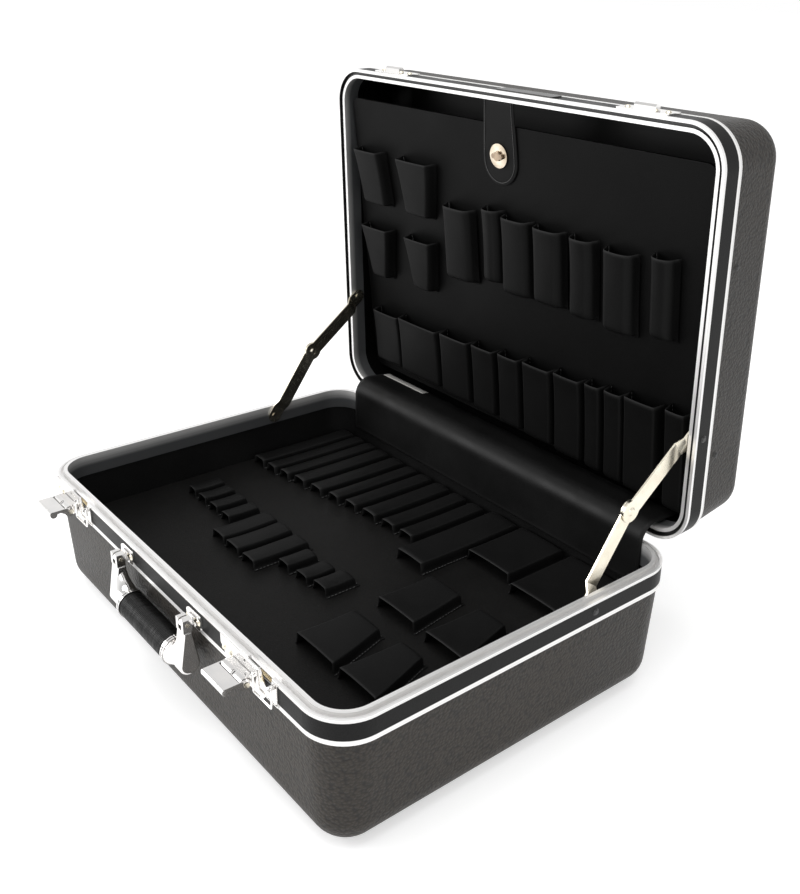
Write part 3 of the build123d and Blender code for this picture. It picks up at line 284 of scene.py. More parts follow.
def makeScratches():
    inputs = [("Scale", floatSocket, 60.0), ("Place", vectorSocket, None)]
    tree, entry, exitNode = startGroup("scratches", inputs, ["Mask"])
    masks = []
    for turn in scratches["turns"]:
        turned = {"Vector": entry.outputs["Place"], "Axis": scratches["axis"], "Angle": turn}
        spun = addNode(tree, "ShaderNodeVectorRotate", turned).outputs[0]
        thin = vectorNode(tree, "MULTIPLY", spun, scratches["stretch"])["Vector"]
        hair = noiseNode(tree, thin, entry.outputs["Scale"], 2.0)
        masks.append(remap(tree, hair["Fac"], *scratches["hairs"]))
    total = mathNode(tree, "ADD", mathNode(tree, "ADD", masks[0], masks[1]), masks[2], clamp=True)
    tree.links.new(total, exitNode.inputs["Mask"])
    return tree


paintedCornerShade = {"open": 0.80, "closed": 0.35, "samples": 6}


def makePaintedCornerShade():
    # painted shade: the colour darkens where faces meet closely, found by ambient occlusion
    tree, entry, exitNode = startGroup("paintedCornerShade", [("Reach", floatSocket, 0.0016)], ["Mask"])
    reach = {"Distance": entry.outputs["Reach"]}
    nearby = addNode(tree, "ShaderNodeAmbientOcclusion", reach, samples=paintedCornerShade["samples"])
    mask = remap(tree, nearby.outputs["AO"], paintedCornerShade["open"], paintedCornerShade["closed"])
    tree.links.new(mask, exitNode.inputs["Mask"])
    return tree


groups = {
    "edgeWear": makeEdgeWear(),
    "paintedCornerShade": makePaintedCornerShade(),
    "pebbleGrain": makePebbleGrain(),
    "toneDrift": makeToneDrift(),
    "drawnLines": makeDrawnLines(),
    "scratches": makeScratches(),
}


def useGroup(tree, name, **inputs):
    node = addNode(tree, "ShaderNodeGroup", node_tree=groups[name])
    for key, value in inputs.items():
        fill(tree, node.inputs[key], value)
    return node.outputs


def startMaterial(name, look, soft=False):
    # the place is in metres, on the piece itself; a soft piece carries it as a map, so that it bends with it
    material = bpy.data.materials.new(name)
    material.use_nodes = True
    tree = material.node_tree
    principled = tree.nodes["Principled BSDF"]
    for key, value in look["shader"].items():
        principled.inputs[key].default_value = value
    if soft:
        place = addNode(tree, "ShaderNodeUVMap", uv_map="flat").outputs[0]
    else:
        place = addNode(tree, "ShaderNodeTexCoord").outputs["Object"]
    return material, tree, principled, place


def setBump(tree, principled, height, look):
    bumped = {"Height": height, "Strength": look["bump"], "Distance": look["bumpDepth"]}
    bump = addNode(tree, "ShaderNodeBump", bumped)
    tree.links.new(bump.outputs[0], principled.inputs["Normal"])


def spreadRough(tree, value, look):
    smoothest, roughest = look["roughSpread"]
    return remap(tree, value, 0, 1, look["rough"] + smoothest, look["rough"] + roughest)


# finishes
def mouldedPlastic(name, look, shellName):
    material, tree, principled, place = startMaterial(name, look)
    grain = useGroup(tree, "pebbleGrain", Scale=look["grainScale"], Place=place)
    drift = useGroup(tree, "toneDrift", Scale=look["driftScale"], Place=place)
    wear = useGroup(tree, "edgeWear", Width=look["wearWidth"], Amount=look["wearAmount"], Place=place)
    scratch = useGroup(tree, "scratches", Scale=look["scratchScale"], Place=place)
    tone = mixColour(tree, drift["Value"], look["dark"], look["light"])
    tone = mixColour(tree, times(tree, grain["Crevice"], look["creviceTone"]), tone, look["crevice"])
    tone = mixColour(tree, times(tree, scratch["Mask"], look["scratchTone"]), tone, look["worn"])
    tone = mixColour(tree, times(tree, wear["Mask"], look["wearTone"]), tone, look["worn"])
    # faces that look to the middle of the shell are its smooth black inside
    low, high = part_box(shellName)
    fromMiddle = vectorNode(tree, "SUBTRACT", place, (low + high) / 2)["Vector"]
    facing = addNode(tree, "ShaderNodeTexCoord").outputs["Normal"]
    outward = vectorNode(tree, "DOT_PRODUCT", fromMiddle, facing)["Value"]
    outside = mathNode(tree, "GREATER_THAN", outward, 0.0)
    tone = mixColour(tree, outside, look["inside"], tone)
    tree.links.new(tone, principled.inputs["Base Color"])
    tree.links.new(spreadRough(tree, drift["Value"], look), principled.inputs["Roughness"])
    setBump(tree, principled, times(tree, grain["Height"], outside), look)
    return material


def grainedVinyl(name, look, soft=False):
    material, tree, principled, place = startMaterial(name, look, soft)
    grain = useGroup(tree, "pebbleGrain", Scale=look["grainScale"], Place=place)
    drift = useGroup(tree, "toneDrift", Scale=look["driftScale"], Place=place)
    tone = mixColour(tree, drift["Value"], look["dark"], look["light"])
    tone = mixColour(tree, times(tree, grain["Crevice"], look["creviceTone"]), tone, look["crevice"])
    if soft:
        hem = addNode(tree, "ShaderNodeAttribute", attribute_name="hem").outputs["Fac"]
        tone = mixColour(tree, times(tree, hem, look["hem"]), tone, look["worn"])
    else:
        wear = useGroup(tree, "edgeWear", Width=look["wearWidth"], Amount=look["wearAmount"], Place=place)
        tone = mixColour(tree, times(tree, wear["Mask"], look["wearTone"]), tone, look["worn"])
    tone = mixColour(tree, times(tree, drift["Dust"], look["dust"]), tone, look["worn"])
    tree.links.new(tone, principled.inputs["Base Color"])
    tree.links.new(spreadRough(tree, drift["Value"], look), principled.inputs["Roughness"])
    setBump(tree, principled, grain["Height"], look)
    return material


def platedMetal(name, look):
    material, tree, principled, place = startMaterial(name, look)
    drift = useGroup(tree, "toneDrift", Scale=look["driftScale"], Place=place)
    scratch = useGroup(tree, "scratches", Scale=look["scratchScale"], Place=place)
    wear = useGroup(tree, "edgeWear", Width=look["wearWidth"], Amount=look["wearAmount"], Place=place)
    grime = useGroup(tree, "paintedCornerShade", Reach=look["cornerShadeReach"])
    tone = mixColour(tree, drift["Value"], look["dark"], look["light"])
    tone = mixColour(tree, times(tree, wear["Mask"], look["wear"]), tone, look["edge"])
    # painted shade: the metal's colour is darkened in corners and crevices where faces meet
    tone = mixColour(tree, times(tree, grime["Mask"], look["cornerShadeAmount"]), tone, look["grime"])
    if "outer" in look:  # the ends that show outside the case are painted black
        sideways = mathNode(tree, "ABSOLUTE", coordinate(tree, place, "X"))
        painted = mathNode(tree, "GREATER_THAN", sideways, look["outerPlace"])
        tone = mixColour(tree, painted, tone, look["outer"])
        tree.links.new(mathNode(tree, "SUBTRACT", 1.0, painted), principled.inputs["Metallic"])
    tree.links.new(tone, principled.inputs["Base Color"])
    scratched = times(tree, scratch["Mask"], look["scratchRough"])
    rough = mathNode(tree, "ADD", spreadRough(tree, drift["Value"], look), scratched)
    tree.links.new(rough, principled.inputs["Roughness"])
    setBump(tree, principled, scratch["Mask"], look)
    return material


def drawnAluminium(name, look, onLid):
    material, tree, principled, place = startMaterial(name, look)
    if onLid:  # the lid's place is taken back to the closed lid
        closing = {"Vector": place, "Center": hingePoint, "Angle": lidAngle, "Axis": (1.0, 0.0, 0.0)}
        place = addNode(tree, "ShaderNodeVectorRotate", closing).outputs[0]
    lines = useGroup(tree, "drawnLines", Place=place, Density=look["density"])
    drift = useGroup(tree, "toneDrift", Scale=look["driftScale"], Place=place)
    wear = useGroup(tree, "edgeWear", Width=look["wearWidth"], Amount=look["wearAmount"], Place=place)
    tone = mixColour(tree, lines["Streak"], look["dark"], look["light"])
    tone = mixColour(tree, times(tree, wear["Mask"], look["wear"]), tone, look["edge"])
    fromParting = mathNode(tree, "SUBTRACT", coordinate(tree, place, "Z"), partingZ)
    depth = mathNode(tree, "ABSOLUTE", fromParting)
    # painted shade: the inner leg is painted darker the further it lies from the parting line
    inside = mathNode(tree, "GREATER_THAN", lines["Inward"], look["innerFace"])
    dull = times(tree, inside, remap(tree, depth, *look["dulls"]))
    tone = mixColour(tree, dull, tone, look["dull"])
    if onLid:  # painted shade: the groove between the lid's two lips is painted black, and its metal is taken out there
        past = mathNode(tree, "GREATER_THAN", lines["Inward"], look["groove"][0])
        before = mathNode(tree, "LESS_THAN", lines["Inward"], look["groove"][1])
        shallow = mathNode(tree, "LESS_THAN", depth, look["grooveDepth"])
        groove = times(tree, times(tree, past, before), shallow)
        tone = mixColour(tree, groove, tone, look["black"])
        bare = mathNode(tree, "SUBTRACT", 1.0, groove)
        tree.links.new(times(tree, bare, look["shader"]["Metallic"]), principled.inputs["Metallic"])
    tree.links.new(tone, principled.inputs["Base Color"])
    uneven = mathNode(tree, "ADD", lines["Height"], drift["Value"])
    smoothest, roughest = look["roughSpread"]
    rough = remap(tree, uneven, *look["unevenness"], look["rough"] + smoothest, look["rough"] + roughest)
    tree.links.new(rough, principled.inputs["Roughness"])
    setBump(tree, principled, lines["Height"], look)
    return material


def threadCotton(name, look):
    material, tree, principled, place = startMaterial(name, look)
    strands = {"Vector": place, "Scale": look["twistScale"], "Distortion": 1.0}
    twist = addNode(tree, "ShaderNodeTexWave", strands, bands_direction="DIAGONAL").outputs["Fac"]
    tree.links.new(mixColour(tree, twist, look["dark"], look["light"]), principled.inputs["Base Color"])
    setBump(tree, principled, twist, look)
    return material


def blankLabel(name, look):
    material, tree, principled, place = startMaterial(name, look, soft=True)
    fibre = noiseNode(tree, place, look["fibreScale"], 4.0)["Fac"]
    tree.links.new(mixColour(tree, fibre, look["dark"], look["light"]), principled.inputs["Base Color"])
    setBump(tree, principled, fibre, look)
    return material


shellLook = {
    "shader": {"Specular IOR Level": 0.28},
    "dark": grey(0.018, 0.2),
    "light": grey(0.031, 0.2),
    "crevice": grey(0.006),
    "worn": grey(0.09),
    "inside": grey(0.0012),
    "creviceTone": 0.75,
    "scratchTone": 0.12,
    "wearTone": 0.6,
    "rough": 0.47,
    "roughSpread": (-0.05, 0.06),
    "driftScale": 7.0,
    "scratchScale": 22.0,
    "grainScale": 430.0,
    "bump": 1.0,
    "bumpDepth": 0.0006,
    "wearWidth": 0.0012,
    "wearAmount": 0.5,
}
vinylLook = {
    "crevice": grey(0.002),
    "worn": grey(0.05),
    "creviceTone": 0.5,
    "wearTone": 0.5,
    "hem": 0.35,
    "dust": 0.25,
    "rough": 0.55,
    "roughSpread": (-0.06, 0.08),
    "driftScale": 16.0,
    "grainScale": 1150.0,
    "bump": 0.35,
    "bumpDepth": 0.0002,
    "wearWidth": 0.0008,
    "wearAmount": 0.7,
}


def vinyl(dark, light, specular=0.10, warm=0.0, **changes):
    tones = {"dark": grey(dark, warm), "light": grey(light, warm)}
    return {**vinylLook, **tones, "shader": {"Specular IOR Level": specular}, **changes}


metalLook = {
    "shader": {"Metallic": 1.0},
    # colour of the painted shade in corners
    "grime": (0.05, 0.045, 0.04, 1.0),
    "cornerShadeAmount": 0.85,
    "cornerShadeReach": 0.0016,
    "roughSpread": (-0.03, 0.03),
    "scratchRough": 0.10,
    "driftScale": 60.0,
    "scratchScale": 90.0,
    "bump": 0.06,
    "bumpDepth": 0.00003,
    "wearWidth": 0.0004,
    "wearAmount": 0.8,
}


def metal(dark, light, edge, wear, rough, **changes):
    return {**metalLook, "dark": dark, "light": light, "edge": edge, "wear": wear, "rough": rough, **changes}


paintedShader = {"Metallic": 0.0}
chromeLook = metal(grey(0.84, 0.01), grey(0.93, 0.02), grey(0.97), 0.3, 0.11)
steelLook = metal((0.76, 0.70, 0.57, 1.0), (0.90, 0.85, 0.72, 1.0), grey(0.95, 0.03), 0.2, 0.24)
knobLook = metal((0.09, 0.06, 0.045, 1.0), (0.42, 0.33, 0.24, 1.0), grey(0.9), 0.5, 0.2)
lockLook = metal((0.30, 0.24, 0.17, 1.0), (0.80, 0.71, 0.58, 1.0), grey(0.95), 0.4, 0.22)
springLook = metal((0.50, 0.38, 0.20, 1.0), (0.82, 0.72, 0.50, 1.0), grey(0.9), 0.2, 0.25)
plateLook = metal(grey(0.008), grey(0.016), grey(0.3), 0.3, 0.3, shader=paintedShader)
blackRivetLook = metal(grey(0.010), grey(0.016), grey(0.1), 0.35, 0.4, shader=paintedShader)
rivetLook = {**steelLook, "outer": grey(0.012), "outerPlace": 0.2299}
rimLook = {
    "shader": {"Metallic": 0.6, "Anisotropic": 0.2},
    "dark": grey(0.78, 0.01),
    "light": grey(0.92, 0.01),
    "edge": grey(0.97),
    "wear": 0.15,
    "rough": 0.34,
    "roughSpread": (-0.05, 0.07),
    "unevenness": (0.3, 1.7),
    "density": 2600.0,
    "driftScale": 25.0,
    "bump": 0.16,
    "bumpDepth": 0.00008,
    "wearWidth": 0.0005,
    "wearAmount": 0.9,
    "groove": (0.0025, 0.0055),  # inward from the rim's outer face
    "grooveDepth": 0.0034,  # down to the web
    # colour of the painted shade in the lid's groove
    "black": grey(0.008),
    "innerFace": 0.0083,
    # painted shade on the inner leg, over this depth from the parting line
    "dulls": (0.0005, 0.009),
    "dull": grey(0.13, -0.03),
}
threadLook = {
    "shader": {"Roughness": 0.8},
    "dark": grey(0.04),
    "light": grey(0.11),
    "twistScale": 900.0,
    "bump": 0.4,
    "bumpDepth": 0.0001,
}
labelLook = {
    "shader": {"Roughness": 0.6},
    "dark": (0.42, 0.41, 0.39, 1.0),
    "light": (0.58, 0.57, 0.55, 1.0),
    "fibreScale": 900.0,
    "bump": 0.2,
    "bumpDepth": 0.0001,
}
rivetMaterial = platedMetal("rivetSteel", rivetLook)
springMaterial = platedMetal("springSteel", springLook)
gripMaterial = grainedVinyl("gripPlastic", vinyl(0.003, 0.006, specular=0.22, rough=0.33))
pocketVinyl = grainedVinyl("pocketVinyl", vinyl(0.0045, 0.0075), soft=True)
lidPocketVinyl = grainedVinyl("lidPocketVinyl", vinyl(0.003, 0.005, specular=0.08), soft=True)
tongueVinyl = grainedVinyl("tongueVinyl", vinyl(0.003, 0.005, hem=0.12), soft=True)
coverVinyl = grainedVinyl("coverVinyl", vinyl(0.005, 0.008, specular=0.16, rough=0.44), soft=True)
threadMaterial = threadCotton("threadCotton", threadLook)
labelMaterial = blankLabel("blankLabel", labelLook)
finishOfSlot = {
    "band_plastic": grainedVinyl("bandPlastic", vinyl(0.006, 0.010, specular=0.14, rough=0.42)),
    "lining_fabric": grainedVinyl("liningVinyl", vinyl(0.006, 0.009, rough=0.5)),
    "board_panel": grainedVinyl("boardVinyl", vinyl(0.0065, 0.0095, warm=0.03)),
    "grip_plastic": gripMaterial,
    "foot_rubber": grainedVinyl("footRubber", vinyl(0.01, 0.016, rough=0.7)),
    "chrome_steel": platedMetal("chromeSteel", chromeLook),
    "bright_steel": platedMetal("brightSteel", steelLook),
}
finishOfNode = {
    "base_shell": mouldedPlastic("baseShellPlastic", shellLook, "base_shell"),
    "lid_shell": mouldedPlastic("lidShellPlastic", shellLook, "lid_shell"),
    "base_rim": drawnAluminium("baseRimAluminium", rimLook, onLid=False),
    "lid_rim": drawnAluminium("lidRimAluminium", rimLook, onLid=True),
    "lid_board": grainedVinyl("lidBoardVinyl", vinyl(0.002, 0.0035, specular=0.07)),
    "lid_lining": grainedVinyl("lidLiningVinyl", vinyl(0.0006, 0.0012, specular=0.05, bump=0.2)),
    "name_plate": platedMetal("plateSteel", plateLook),
    "turn_lock_knob": platedMetal("lockKnob", knobLook),
    "turn_lock_plate": platedMetal("lockPlate", lockLook),
    "lid_side_rivets": platedMetal("blackRivet", blackRivetLook),
    "base_rivets": rivetMaterial,
    "lid_rivets": rivetMaterial,
}
print("finishes made")

slotOf = {row["node"]: row["material_slot"] for row in frame["record"]["subparts"]}
for nodeName, node in frame["nodes"].items():
    finish = finishOfNode.get(nodeName) or finishOfSlot.get(slotOf[nodeName])
    if finish:
        node.data.materials.clear()
        node.data.materials.append(finish)
print("frame's own pieces finished")


# making soft pieces
def addPiece(name, mesh, body, material, nodes=()):
    piece = bpy.data.objects.new(name, mesh)
    scene.collection.objects.link(piece)
    mesh.materials.append(material)
    if body:
        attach(piece, body)
    if nodes:
        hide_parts(*nodes)
    return piece


def gridMesh(name, patches, pose):
    # each patch is rows of (point, flat place, hem) over a grid; all go into one mesh
    mesh = bpy.data.meshes.new(name)
    points, faces, flats, hems = [], [], [], []
    for rows in patches:
        start = len(points)
        wide = len(rows[0])
        for row in rows:
            for point, flat, hem in row:
                points.append(pose @ Vector(point))
                flats.append(flat)
                hems.append(hem)
        for i in range(len(rows) - 1):
            for j in range(wide - 1):
                a = start + i * wide + j
                faces.append((a, a + 1, a + wide + 1, a + wide))
    mesh.from_pydata(points, [], faces)
    layer = mesh.uv_layers.new(name="flat")
    for loop in mesh.loops:
        layer.data[loop.index].uv = flats[loop.vertex_index]
    attribute = mesh.attributes.new("hem", "FLOAT", "POINT")
    attribute.data.foreach_set("value", hems)
    welded = bmesh.new()  # a grid that closes on itself is joined there
    welded.from_mesh(mesh)
    bmesh.ops.remove_doubles(welded, verts=welded.verts, dist=1e-6)
    welded.to_mesh(mesh)
    welded.free()
    mesh.shade_smooth()
    return mesh


def thicken(piece, thickness, levels=1):
    skin = piece.modifiers.new("skin", "SOLIDIFY")
    skin.thickness = thickness
    skin.offset = -1.0
    if levels:
        smooth = piece.modifiers.new("smooth", "SUBSURF")
        smooth.levels = smooth.render_levels = levels


def islands(node):
    # the separate solids of a node, as lists of points
    copy = bmesh.new()
    copy.from_mesh(node.data)
    bmesh.ops.remove_doubles(copy, verts=copy.verts, dist=1e-6)
    left = set(copy.verts)
    found = []
    for seed in copy.verts:  # in the mesh's own order, so that each run finds them alike
        if seed not in left:
            continue
        left.remove(seed)
        stack = [seed]
        group = []
        while stack:
            vert = stack.pop()
            group.append(vert.co.copy())
            for edge in vert.link_edges:
                other = edge.other_vert(vert)
                if other in left:
                    left.remove(other)
                    stack.append(other)
        found.append(group)
    copy.free()
    return found


pocket = {
    "thickness": 0.0009,
    "stations": 14,
    "inset": 0.0003,  # in from the sides of the piece it stands for
    "under": 0.0003,  # and below its top
    "flange": 0.0026,
    "foot": 0.0006,
    "roundest": 0.62,  # of the half width or the height, for a corner
    "crown": 0.0006,
    "flare": 0.0005,
    "flareLength": 0.012,
    "sag": 0.0005,
    "drift": 0.0004,
    "sway": 0.0006,
    "lip": 0.0016,
    "crease": 0.22,
    "closing": 0.004,
    "taper": 0.12,
    "fold": ((0.5, 0.0006), (0.0, 0.0006), (0.0, 0.0024)),  # share of the height and step, row by row
    "foldLength": 0.004,
    "endDepth": 0.002,  # what counts as an end of the solid it stands for
}
sleeves = {
    "loop": {"corner": 0.0013, "splay": 0.3},
    "tube": {"corner": 0.0060, "splay": 0.75},
    "wedge": {"corner": 0.0012, "splay": 0.8},
}
stitch = {
    "pitch": 0.0034,
    "length": 0.0023,
    "uneven": (0.9, 1.08),
    "lean": 0.0001,
    "radius": 0.00028,
    "lift": 0.00012,
    "sides": 6,
    "rings": ((-1.0, 0.25), (-0.7, 0.85), (0.0, 1.0), (0.7, 0.85), (1.0, 0.25)),  # place and thickness
    "onFlange": 0.62,
    "endGap": 0.0008,
    "beyond": 0.0022,
}


def sleeveSection(half, height, crown, sway, style):
    # from one flange over the sleeve to the other, as (across, height) points
    corner = min(style["corner"], half * pocket["roundest"], height * pocket["roundest"])
    flange = pocket["flange"]
    spread = flange * style["splay"]
    foot = pocket["foot"]
    side = [(-half - flange, 0.0), (-half - spread - foot, 0.0), (-half - spread * 0.9, foot)]
    side.append((-half - spread * 0.4 + sway * 0.3, (height - corner) * 0.6))
    arc = []
    for step in range(5):
        angle = math.pi - step * math.pi / 8
        arc.append((-half + corner + corner * math.cos(angle), height - corner + corner * math.sin(angle)))
    top = []
    for step in range(1, 6):
        share = step / 6
        across = -half + corner + share * 2 * (half - corner)
        top.append((across, height + crown * 4 * share * (1 - share)))
    left = side + arc
    right = [(-across, rise) for across, rise in reversed(left)]
    return left + top + right


def sleevePatch(mouthLeft, mouthRight, mouthV, endLeft, endRight, endV, height, style):
    # rows from the mouth to the far end; each sleeve wobbles in its own way
    direction = 1 if endV > mouthV else -1
    length = abs(endV - mouthV)
    wobble = [random.uniform(-1, 1) for _ in range(4)]
    rows = []
    for station in range(pocket["stations"] + 1):
        share = station / pocket["stations"]
        share = share * share * (3 - 2 * share) * 0.5 + share * 0.5  # closer together at both ends
        along = share * length
        left = mouthLeft + (endLeft - mouthLeft) * share + pocket["inset"]
        right = mouthRight + (endRight - mouthRight) * share - pocket["inset"]
        nearMouth = max(0.0, 1 - along / pocket["flareLength"])
        rise = height - pocket["crown"] - pocket["under"] + pocket["flare"] * nearMouth
        rise -= pocket["sag"] * math.sin(math.pi * share) * (1 + 0.5 * wobble[0])
        nearEnd = max(0.0, 1 - (length - along) / pocket["closing"])
        rise *= 1 - pocket["taper"] * nearEnd * nearEnd
        middle = (left + right) / 2 + wobble[1] * pocket["drift"] * math.sin(math.pi * share)
        half = (right - left) / 2
        crown = pocket["crown"] * (1 + 0.4 * wobble[2] * math.sin(2.2 * math.pi * share))
        hem = max(0.0, 1 - along / pocket["lip"])
        row = []
        travelled = 0.0
        before = None
        for across, high in sleeveSection(half, rise, crown, wobble[3] * pocket["sway"], style):
            if before:
                travelled += math.hypot(across - before[0], high - before[1])
            before = (across, high)
            onCorner = rise * 0.6 < high < rise * 1.001 and abs(across) > half - style["corner"]
            creased = pocket["crease"] if onCorner else 0.0
            worn = max(hem, creased) if high > 0.001 else hem * 0.2
            place = (middle + across, mouthV + direction * along, high + pocket["thickness"])
            row.append((place, (travelled, along), worn))
        rows.append(row)
    for share, step in pocket["fold"]:  # the far end folds down to the board and is sewn flat
        folded = []
        for (x, y, z), (u, v), hem in rows[-1]:
            high = pocket["thickness"] + (z - pocket["thickness"]) * share
            folded.append(((x, y + direction * step, high), (u, v + pocket["foldLength"]), 0.0))
        rows.append(folded)
    return rows


def stitchLine(points, faces, start, end, pose, lift):
    # short spindles of thread, half sunk in what they hold
    run = Vector(end) - Vector(start)
    count = max(1, int(run.length / stitch["pitch"]))
    along = run.normalized()
    side = along.cross(Vector((0, 0, 1))).normalized()
    sides, rings = stitch["sides"], stitch["rings"]
    for i in range(count):
        middle = Vector(start) + along * ((i + 0.5) * run.length / count)
        half = stitch["length"] / 2 * random.uniform(*stitch["uneven"])
        lean = side * random.uniform(-stitch["lean"], stitch["lean"])
        first = len(points)
        for share, thick in rings:
            centre = middle + along * (share * half) + lean * share + Vector((0, 0, lift + stitch["lift"]))
            for corner in range(sides):
                angle = corner * 2 * math.pi / sides
                offset = side * math.cos(angle) + Vector((0, 0, math.sin(angle)))
                points.append(pose @ (centre + offset * stitch["radius"] * thick))
        for ring in range(len(rings) - 1):
            for corner in range(sides):
                a = first + ring * sides + corner
                b = first + ring * sides + (corner + 1) % sides
                faces.append((a, b, b + sides, a + sides))
        last = first + (len(rings) - 1) * sides
        faces.append(tuple(first + corner for corner in reversed(range(sides))))
        faces.append(tuple(last + corner for corner in range(sides)))


def threadPiece(name, lines, pose, body):
    points, faces = [], []
    for start, end, lift in lines:
        stitchLine(points, faces, start, end, pose, lift)
    mesh = bpy.data.meshes.new(name)
    mesh.from_pydata(points, [], faces)
    mesh.shade_smooth()
    addPiece(name, mesh, body, threadMaterial)


def pocketRow(nodeName, pieceName, pose, body, mouthSign, style):
    # mouthSign is the side of the row, along the board, on which its mouths are
    back = pose.inverted()
    patches, lines = [], []
    for group in islands(frame["nodes"][nodeName]):
        local = [back @ p for p in group]
        height = max(p.z for p in local)
        ends = (min(p.y for p in local), max(p.y for p in local))
        mouthV, endV = ends if mouthSign < 0 else ends[::-1]
        mouthX = [p.x for p in local if abs(p.y - mouthV) < pocket["endDepth"]]
        endX = [p.x for p in local if abs(p.y - endV) < pocket["endDepth"]]
        sides = (min(mouthX), max(mouthX), min(endX), max(endX))
        patches.append(sleevePatch(sides[0], sides[1], mouthV, sides[2], sides[3], endV, height, style))
        direction = 1 if endV > mouthV else -1
        gap = direction * stitch["endGap"]
        for mouthSide, endSide, out in ((sides[0], sides[2], -1), (sides[1], sides[3], 1)):
            shift = out * pocket["flange"] * stitch["onFlange"]
            start = (mouthSide + shift, mouthV + gap, 0.0)
            end = (endSide + shift, endV - gap, 0.0)
            lines.append((start, end, pocket["thickness"]))
        beyond = endV + direction * stitch["beyond"]
        lines.append(((sides[2], beyond, 0.0), (sides[3], beyond, 0.0), pocket["thickness"]))
    finish = pocketVinyl if body == "base" else lidPocketVinyl
    mesh = gridMesh(pieceName, patches, pose)
    piece = addPiece(pieceName, mesh, body, finish, [nodeName])
    thicken(piece, pocket["thickness"])
    threadPiece(pieceName + "Thread", lines, pose, body)


baseRows = ("driver_loops_left", "driver_loops_middle", "driver_loops_right", "wide_pockets_rear")
baseRows += ("wide_pockets_front", "small_loops_left", "small_loops_middle", "small_loops_right")
lidRows = ("lid_wedge_pockets", "lid_tubes_left", "lid_tubes_right")
lidRows += ("lid_low_pockets_left", "lid_low_pockets_middle", "lid_low_pockets_right")


def camel(name):
    words = name.split("_")
    return words[0] + "".join(word.capitalize() for word in words[1:])


for rowName in baseRows:
    pocketRow(rowName, camel(rowName), baseBoardPose, "base", -1, sleeves["loop"])
for rowName in lidRows:
    rowStyle = sleeves["tube" if "tubes" in rowName else "wedge"]
    pocketRow(rowName, camel(rowName), lidBoardPose, "lid", 1, rowStyle)
print("pockets sewn")


# hinge cover: a strip of vinyl, sewn at both edges, that bows over the gap between the halves
hingeCover = {
    "thickness": 0.0011,
    "acrossSteps": 96,
    "alongSteps": 40,
    "springing": 0.0015,  # the bow springs from the tongue of the base's rim
    "bend": 97,  # degrees
    "pucker": 0.0007,
    "ripples": ((61, 1.3), (23, 0.4)),
    "puckerFrom": 0.02,  # the strip is smooth up to here
    "puckerLess": 0.03,  # both smooth ends together
    "hem": 0.004,
    "hemWear": 0.6,
    "blendIn": 0.004,
    "blendBelow": 0.012,
    "blendBefore": 0.012,
}


def outFrom(angle):
    return Vector((math.cos(angle), math.sin(angle)))


def onwardAt(angle):
    return Vector((math.sin(angle), -math.cos(angle)))


def coverLine():
    # the middle line of the strip, from its lower edge up the rear wall and over to the lid
    low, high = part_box("hinge_cover")
    half = hingeCover["thickness"] / 2
    radius = high.z - partingZ - hingeCover["springing"]
    centre = Vector((low.y + radius, partingZ + hingeCover["springing"]))
    bow = radius - half
    rise = centre.y - low.z
    turn = math.radians(hingeCover["bend"])
    bowReach = centre.x + bow * math.sin(turn - math.pi / 2)
    run = (high.y - bowReach) / math.cos(turn - math.pi / 2)
    total = rise + bow * turn + run
    line = []
    for step in range(hingeCover["alongSteps"] + 1):
        at = total * step / hingeCover["alongSteps"]
        if at <= rise:
            spot, facing = Vector((low.y + half, low.z + at)), math.pi
        elif at <= rise + bow * turn:
            facing = math.pi - (at - rise) / bow
            spot = centre + outFrom(facing) * bow
        else:
            facing = math.pi - turn
            spot = centre + outFrom(facing) * bow + onwardAt(facing) * (at - rise - bow * turn)
        line.append((spot, facing, at))
    return low, high, line, total


def coverRows(low, width, path, length):
    rows = []
    for spot, facing, at in path:
        puckered = (at - hingeCover["puckerFrom"]) / (length - hingeCover["puckerLess"])
        bowShare = max(0.0, math.sin(math.pi * min(1.0, max(0.0, puckered))))
        row = []
        for step in range(hingeCover["acrossSteps"] + 1):
            share = step / hingeCover["acrossSteps"]
            x = low.x + share * width
            ripple = sum(math.sin(share * count + shift) * 0.5 for count, shift in hingeCover["ripples"])
            place = spot + outFrom(facing) * (-abs(ripple) * hingeCover["pucker"] * bowShare)
            edge = min(at, length - at, share * width, (1 - share) * width)
            hem = max(0.0, 1 - edge / hingeCover["hem"])
            row.append(((x, place.x, place.y), (x, at), hem * hingeCover["hemWear"]))
        rows.append(row)
    return rows


coverLow, coverHigh, coverPath, coverLength = coverLine()
coverWidth = coverHigh.x - coverLow.x
coverSkin = coverRows(coverLow, coverWidth, coverPath, coverLength)
coverMesh = gridMesh("hingeCover", [coverSkin], Matrix.Identity(4))
coverPiece = addPiece("hingeCover", coverMesh, None, coverVinyl, ["hinge_cover"])
thicken(coverPiece, hingeCover["thickness"], 0)
coverPiece.modifiers["skin"].offset = 0.0
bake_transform(coverPiece)
print("hinge cover sewn, flat size", round(coverWidth, 4), round(coverLength, 4))


